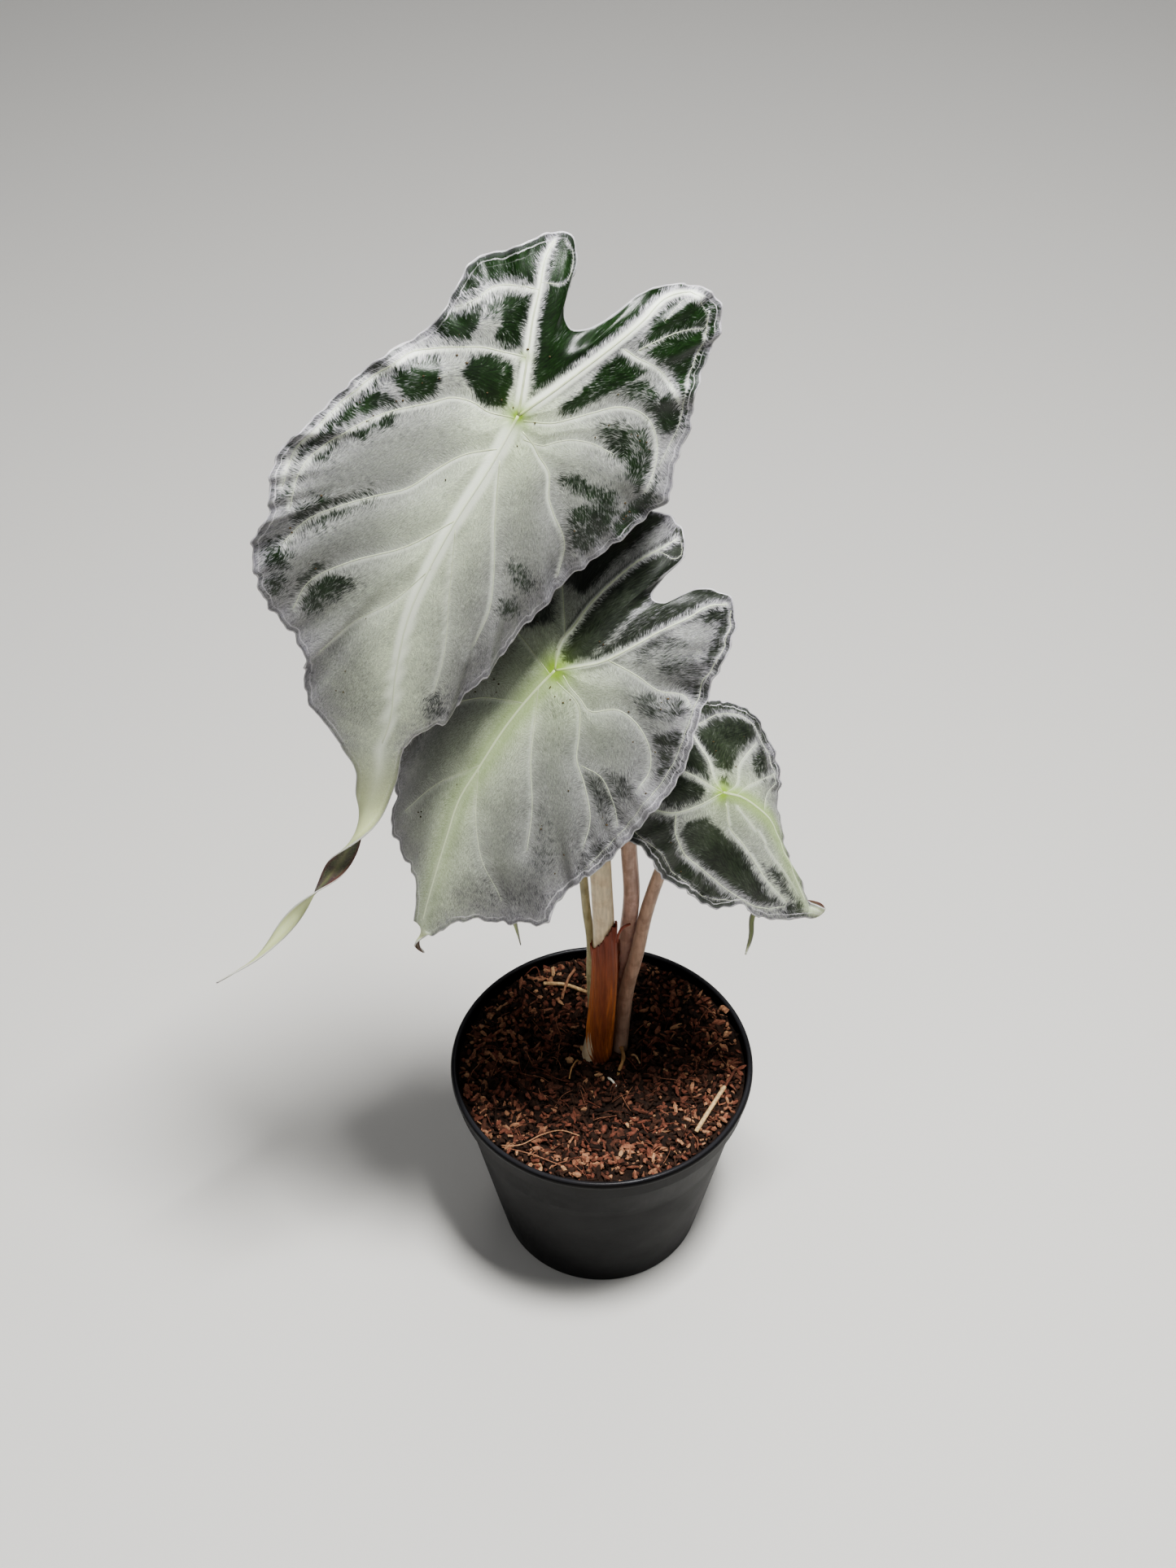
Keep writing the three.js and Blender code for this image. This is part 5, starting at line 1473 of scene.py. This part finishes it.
def makeRootMaterial():
    # Corm and roots: corky brown skin, with roots of dry tan and a fresh white tip
    material, tree, shader = newMaterial("corkyRoot")
    tint = addNode(tree, "ShaderNodeAttribute", attribute_name="tint").outputs["Fac"]
    place = addNode(tree, "ShaderNodeTexCoord").outputs["Object"]
    grit = addNode(tree, "ShaderNodeTexNoise", {"Vector": place, "Scale": 420.0, "Detail": 5.0})
    young = addNode(tree, "ShaderNodeMapRange", [tint, 0.0, 0.5])
    colour = addNode(tree, "ShaderNodeMix", [young, corm["skin"], corm["root"]], data_type="RGBA")
    fresh = addNode(tree, "ShaderNodeMapRange", [tint, 0.5, 1.0])
    colour = addNode(tree, "ShaderNodeMix", [fresh, colour, corm["tip"]], data_type="RGBA")
    shade = addNode(tree, "ShaderNodeMapRange", [grit, 0.3, 0.7, 0.65, 1.2])
    colour = addNode(tree, "ShaderNodeVectorMath", {"Vector": colour, "Scale": shade}, operation="SCALE")
    fill(tree, shader, {
        "Base Color": colour,
        "Roughness": 0.7,
        "Normal": addNode(tree, "ShaderNodeBump", {"Height": grit, "Strength": 0.5, "Distance": 0.0005}),
    })
    return material


def rootTaper(radius):
    # a root gets thinner towards its end, with faint rings
    return lambda share, turn: radius * (1 - 0.45 * share) * (1 + 0.12 * np.sin(40 * share))


def buildCorm():
    bm = bmesh.new()
    layer = bm.verts.layers.float.new("tint")
    x, y, z = corm["place"]
    for vert in bmesh.ops.create_icosphere(bm, subdivisions=5, radius=1)["verts"]:
        rings = 0.04 * math.sin(24 * vert.co.z)
        rough = 1 + rings + 0.12 * noise.noise(vert.co * 3) + 0.05 * noise.noise(vert.co * 9)
        wide = corm["radius"] * rough
        vert.co = (x + wide * vert.co.x, y + wide * vert.co.y, z + corm["tall"] * rough * vert.co.z)
        vert[layer] = 0.0
    roots = list(corm["roots"])
    count, thick, shade, spots = corm["deep"]
    for i in range(count):
        turn = 2 * math.pi * (i + 0.3) / count
        path = [[x + far * math.cos(turn), y + far * math.sin(turn), high] for far, high in spots]
        roots.append((thick, shade, path))
    for radius, tint, path in roots:
        addTube(bm, path, rootTaper(radius), 10, 36, tint=tint)
    finishPiece("corm_and_roots", bm, [makeRootMaterial()], ["root_crown"])


# Potting mix

soil = {
    "top": 84,
    "relief": 0.7,
    "bank": 6.6,  # how much higher it lies at the wall
    "bankFrom": 25,
    "bankTo": 55,
    "reach": 57,
    "rim": 0.5,  # mm of clearance to the pot's wall
    "grid": (170, 56),  # faces round it, and from its middle over its edge to the bottom
    "clear": (2, 16, 10),  # round the stems, a place and a radius with no chips
    "crumbs": {
        "count": 3900,
        "lengths": (0.7, 1.0, 1.4, 2.0, 2.9),  # half lengths in mm
        "tints": (0.02, 0.08, 0.2, 0.34, 0.46, 0.56, 0.66),
        "paleShare": 0.05,
    },
    "slabs": {"count": 90, "tints": (0.05, 0.15, 0.3, 0.45)},  # larger bark pieces
    "cluster": {"count": 34, "place": (-2.5, -45.5), "reach": 8},  # tan chips at the front
    "fibres": {
        "count": 270,
        "tints": (0.2, 0.35, 0.45, 0.6, 0.72),
        "clear": 12,  # a radius round the corm with none
        "arch": (2.0, 5),  # how high the middle lies, and how fast it falls to the ends
    },
    "strandLift": 0.8,
    "markedLift": 1.8,
    "seed": 7,
    "dark": "#1c120c",
    "brown": "#3d291e",
    "rust": "#7a4a3a",
    "tan": "#a98062",
    "straw": "#cdb083",
    # straws, sticks and long fibres that stand out: radius, tint, and a path with its height above the mix
    "strands": [
        (0.8, 0.95, [(-23.9, 42.2, 0.6), (-15, 41.6, 1.8), (-5.6, 39.3, 0.8)]),
        (0.6, 0.8, [(-11, 49.2, 0.1), (-13.5, 43.4, 3.2), (-16.4, 36.4, 0.4)]),
        (0.9, 1.0, [(36.2, -32.8, 0.9), (42.1, -22.4, 1.5), (48.3, -11.9, 1.0)]),
        (0.6, 0.5, [(48, -12.5, 1), (51, -7.5, 1.6), (53, -3, 0.8)]),
        (0.3, 0.62, [(-31.8, 45.5, 0.8), (-31.5, 49, 2.5), (-28.6, 50.5, 3.5), (-26.2, 48, 1.8),
            (-24.9, 42.7, 0.8)]),
        (0.28, 0.85, [(-40.5, -41.6, 1.5), (-31.3, -39.9, 1.2), (-23.6, -34.2, 2), (-15.8, -29, 1.6),
            (-8.8, -31.3, 1)]),
        (0.25, 0.75, [(-39.2, -40.9, 1), (-28.1, -43.9, 1.8), (-15.5, -49, 1.2)]),
    ],
    # chips that stand out: place, half sizes and tint
    "marked": [
        (0.7, -27.1, (2.2, 1.2, 0.9), 0.62), (-24, -11.4, (2.0, 1.4, 0.9), 0.6),
        (50.3, 27.7, (3.4, 2.2, 1.2), 0.8), (-12.9, 7, (2.2, 1.5, 1.2), 0.88),
        (-6.6, 11.6, (1.2, 2.4, 2.6), 0.95),
    ],
}


def soilHeight(x, y):
    swell = math.sin(x * 0.21 + 1) * math.cos(y * 0.17) + 0.6 * math.sin(x * 0.47 - y * 0.39)
    bank = smoothstep(math.hypot(x, y), soil["bankFrom"], soil["bankTo"])
    return soil["top"] + soil["relief"] * swell + soil["bank"] * float(bank)


def lumpyHeight(x, y):
    # the surface between the chips
    lumps = 1.4 * noise.noise(Vector((x, y, 0)) * 0.3) + noise.noise(Vector((x, y, 3)) * 0.8)
    return soilHeight(x, y) + lumps - 0.6


def makeSoilMaterial():
    # Coir and bark mix: shredded fibre and chips, damp, from nearly black to rust and tan
    material, tree, shader = newMaterial("coirAndBark")
    tint = addNode(tree, "ShaderNodeAttribute", attribute_name="tint").outputs["Fac"]
    place = addNode(tree, "ShaderNodeTexCoord").outputs["Object"]
    rough = {"Vector": place, "Scale": 700.0, "Detail": 5.0, "Roughness": 0.7}
    grit = addNode(tree, "ShaderNodeTexNoise", rough)
    shifted = addNode(tree, "ShaderNodeMath", [grit, 0.3, tint], operation="MULTIPLY_ADD")
    shifted = addNode(tree, "ShaderNodeMath", [shifted, 0.15], operation="SUBTRACT")
    colour = soil["dark"]
    steps = [0.0, 0.35, 0.65, 0.85, 1.0]
    for upper, low, high in zip(("brown", "rust", "tan", "straw"), steps[:-1], steps[1:]):
        share = addNode(tree, "ShaderNodeMapRange", [shifted, low, high])
        colour = addNode(tree, "ShaderNodeMix", [share, colour, soil[upper]], data_type="RGBA")
    shade = addNode(tree, "ShaderNodeMapRange", [grit, 0.3, 0.7, 0.55, 1.2])
    colour = addNode(tree, "ShaderNodeVectorMath", {"Vector": colour, "Scale": shade}, operation="SCALE")
    fill(tree, shader, {
        "Base Color": colour,
        "Roughness": 0.88,
        "Specular IOR Level": 0.3,
        "Normal": addNode(tree, "ShaderNodeBump", {"Height": grit, "Strength": 0.6, "Distance": 0.0006}),
    })
    return material


def addChip(bm, rng, spot, size, tint, detail=1):
    # a splinter of bark: a small ball, stretched, turned and broken up by noise
    made = bmesh.ops.create_icosphere(bm, subdivisions=detail, radius=1)["verts"]
    layer = bm.verts.layers.float["tint"]
    turn = Matrix.Rotation(rng.uniform(0, 2 * math.pi), 3, "Z")
    turn = turn @ Matrix.Rotation(rng.uniform(-0.6, 0.6), 3, "X")
    turn = turn @ Matrix.Rotation(rng.uniform(-0.6, 0.6), 3, "Y")
    shift = Vector((rng.uniform(-50, 50), rng.uniform(-50, 50), 0))
    x, y, up = spot
    middle = Vector((x, y, soilHeight(x, y) + up))
    for vert in made:
        rough = 1 + 0.55 * noise.noise(vert.co * 1.7 + shift)
        vert.co = turn @ Vector([c * s * rough for c, s in zip(vert.co, size)]) + middle
        vert[layer] = tint


def addInBatches(bm, count, addOne, batch=250):
    # operators slow down as a mesh grows, so hundreds of repeats are made in small meshes first
    for start in range(0, count, batch):
        part = bmesh.new()
        part.verts.layers.float.new("tint")
        for i in range(min(batch, count - start)):
            addOne(part)
        mesh = bpy.data.meshes.new("batch")
        part.to_mesh(mesh)
        part.free()
        bm.from_mesh(mesh)
        bpy.data.meshes.remove(mesh)


def freeSpot(rng, reach):
    # a random place in the pot that isn't under the stems
    x0, y0, clear = soil["clear"]
    while True:
        radius, turn = reach * math.sqrt(rng.random()), 2 * math.pi * rng.random()
        x, y = radius * math.cos(turn), radius * math.sin(turn)
        if math.hypot(x - x0, y - y0) > clear:
            return x, y


def addCrumb(bm, rng):
    crumbs, reach = soil["crumbs"], soil["reach"]
    x, y = freeSpot(rng, reach - 1.2)
    tight = min(1, (reach + 0.4 - math.hypot(x, y)) / 2.6)  # smaller against the wall
    long = rng.choice(crumbs["lengths"]) * rng.uniform(0.8, 1.2)
    size = [side * tight for side in (long, rng.uniform(0.5, 1.3), rng.uniform(0.4, 1.0))]
    # painted shade: crumbs near the stems are drawn darker, where the leaves cast their shadow
    outward = float(smoothstep(math.hypot(x, y), 12, 50))  # paler away from the stems
    tint = rng.choice(crumbs["tints"]) * (0.74 + 0.4 * outward)
    tint = rng.uniform(0.7, 0.9) if rng.random() < crumbs["paleShare"] else tint + rng.uniform(0, 0.1)
    addChip(bm, rng, (x, y, rng.uniform(-0.3, 1.4)), size, tint)


def addGround(bm):
    # the surface, closed below by three more rings down the wall to the bottom
    turns, rings = soil["grid"]
    reach, gap = soil["reach"], pot["wall"] + soil["rim"]
    neck, bottom = (wallRadius(z) - gap for z in (soil["top"] - 1, 4))

    def place(x, y):
        ring = np.rint(y * rings) - (rings - 3)
        turn = 2 * np.pi * x
        onTop = reach * y * rings / (rings - 3)
        far = np.where(ring <= 0, onTop, np.interp(ring, [1, 2, 3], [reach, neck, bottom]))
        spots = np.stack([far * np.cos(turn), far * np.sin(turn)], 1)
        low = np.interp(ring, [0, 1, 2, 3], [0, soil["top"] + 3, soil["top"] - 1, 2.2])
        return np.column_stack([spots, np.where(ring > 0, low, [lumpyHeight(*spot) for spot in spots])])

    layer = bm.verts.layers.float["tint"]
    for vert in closeSeams(bm, warpedGrid(bm, turns, rings, place)[0]):
        vert[layer] = 0.1 + 0.2 * noise.noise(vert.co * 0.25)


def buildSoil(material):
    rng = random.Random(soil["seed"])
    bm = bmesh.new()
    bm.verts.layers.float.new("tint")
    addGround(bm)
    addInBatches(bm, soil["crumbs"]["count"], lambda part: addCrumb(part, rng))
    for i in range(soil["slabs"]["count"]):
        x, y = freeSpot(rng, soil["reach"] - 5)
        size = (rng.uniform(2, 3.8), rng.uniform(1.2, 2.2), rng.uniform(0.8, 1.5))
        tint = rng.choice(soil["slabs"]["tints"])
        addChip(bm, rng, (x, y, rng.uniform(0, 1.0)), size, tint)
    cluster = soil["cluster"]
    for i in range(cluster["count"]):
        turn, far = 2 * math.pi * rng.random(), cluster["reach"] * math.sqrt(rng.random())
        x, y = far * math.cos(turn) + cluster["place"][0], 0.45 * far * math.sin(turn) + cluster["place"][1]
        size = (rng.uniform(0.9, 2.0), rng.uniform(0.7, 1.2), rng.uniform(0.5, 0.9))
        addChip(bm, rng, (x, y, rng.uniform(0.4, 1.8)), size, rng.uniform(0.6, 0.82))
    for x, y, size, tint in soil["marked"]:
        addChip(bm, rng, (x, y, soil["markedLift"]), size, tint, detail=2)
    finishPiece("mix_bed", bm, [material], ["potting_mix"], smooth=False)


def overMix(x, y, up):
    # a place over the mix, moved in from the wall where need be
    far = max(1, math.hypot(x, y) / (soil["reach"] - 1.5))
    return [x / far, y / far, soilHeight(x / far, y / far) + up]


def addFibre(bm, rng):
    fibres = soil["fibres"]
    top, fall = fibres["arch"]
    radius, turn = (soil["reach"] - 4.5) * math.sqrt(rng.random()), 2 * math.pi * rng.random()
    x, y = radius * math.cos(turn), radius * math.sin(turn)
    heading, length = rng.uniform(0, 2 * math.pi), rng.uniform(4, 14)
    thin, tint = rng.uniform(0.1, 0.24), rng.choice(fibres["tints"])
    if math.hypot(x - corm["place"][0], y - corm["place"][1]) < fibres["clear"]:
        return
    path = []
    for share in (-0.5, -0.2, 0.15, 0.5):
        heading += rng.uniform(-0.22, 0.22)
        along = length * share
        up = top - fall * share * share + rng.uniform(-0.3, 0.5)
        path.append(overMix(x + along * math.cos(heading), y + along * math.sin(heading), up))
    addTube(bm, path, thin, 4, 7, tint=tint)


def buildFibres(material):
    rng = random.Random(soil["seed"] + 1)
    bm = bmesh.new()
    bm.verts.layers.float.new("tint")
    for i in range(soil["fibres"]["count"]):
        addFibre(bm, rng)
    for radius, tint, path in soil["strands"]:
        lifted = [overMix(x, y, up + soil["strandLift"]) for x, y, up in path]
        addTube(bm, lifted, radius, 7, 26, tint=tint)
    finishPiece("mix_fibres", bm, [material])


# Specks on the upper faces

specks = {
    "colour": "#2a2418",
    "wearAndRimHighlight": "#5a4a2c",
    "radii": (0.14, 0.34),
    "clustered": 0.3,  # share that lies close to the one before
    "lowest": -20,  # mm along the midrib, with none on the lobes below it
    "counts": {"leaf_large": 46, "leaf_medium": 40, "leaf_small": 10},
    "seed": 3,
}


def makeSpeckMaterial():
    # Specks of mix and dried sap: matt, dark brown grains
    material, tree, shader = newMaterial("driedSpecks")
    place = addNode(tree, "ShaderNodeTexCoord").outputs["Object"]
    cloud = addNode(tree, "ShaderNodeTexNoise", {"Vector": place, "Scale": 90.0})
    colour = addNode(tree, "ShaderNodeMix", [cloud, specks["colour"], specks["wearAndRimHighlight"]], data_type="RGBA")
    fill(tree, shader, {"Base Color": colour, "Roughness": 0.9})
    return material


def speckSpots(rng, margin, count):
    spots = []
    while len(spots) < count:
        if spots and rng.random() < specks["clustered"]:
            spot = spots[-1] + np.array([rng.gauss(0, 1.6), rng.gauss(0, 1.6)])
        else:
            spot = margin[rng.randrange(len(margin) - neckColumns)] * 0.9 * math.sqrt(rng.random())
        if spot[1] > specks["lowest"]:
            spots.append(spot)
    return np.array(spots)


def buildSpecks():
    rng = random.Random(specks["seed"])
    bm = bmesh.new()
    for name, count in specks["counts"].items():
        leaf = leaves[name]
        spots = speckSpots(rng, marginOf(leaf)[0], count)
        out = bladeAxes(leaf)[2]
        for point in bladePoints(leaf, *spots.T, *reachAt(leaf, *spots.T)):
            size = rng.uniform(*specks["radii"])
            made = bmesh.ops.create_icosphere(bm, subdivisions=1, radius=size)["verts"]
            stretch = rng.uniform(0.8, 1.6)
            for vert in made:
                vert.co = Vector((vert.co.x * stretch, vert.co.y, vert.co.z)) + Vector(point + out * 0.08)
    finishPiece("leaf_specks", bm, [makeSpeckMaterial()])


# Everything together

addCamera()
addFloor()
addLight()
print("studio set")
undersideMaterial = makeUndersideMaterial()
ribMaterial = makeRibMaterial()
for leafName, leaf in leaves.items():
    skin = makeBladeMaterial(leafName + "_skin", leaf["window"], leaf["feltPaintedShade"])
    buildBlade(leafName, leaf, [skin, undersideMaterial])
    buildRibs(leafName, leaf, ribMaterial)
    print("leaf built:", leafName)
for stemName, stem in stems.items():
    buildStem(stemName, stem)
for sheathName, sheath in sheaths.items():
    buildSheath(sheathName, sheath)
print("stems and sheaths built")
buildPot()
mixMaterial = makeSoilMaterial()
buildSoil(mixMaterial)
buildFibres(mixMaterial)
buildCorm()
buildSpecks()
print("pot, mix, corm and specks built")
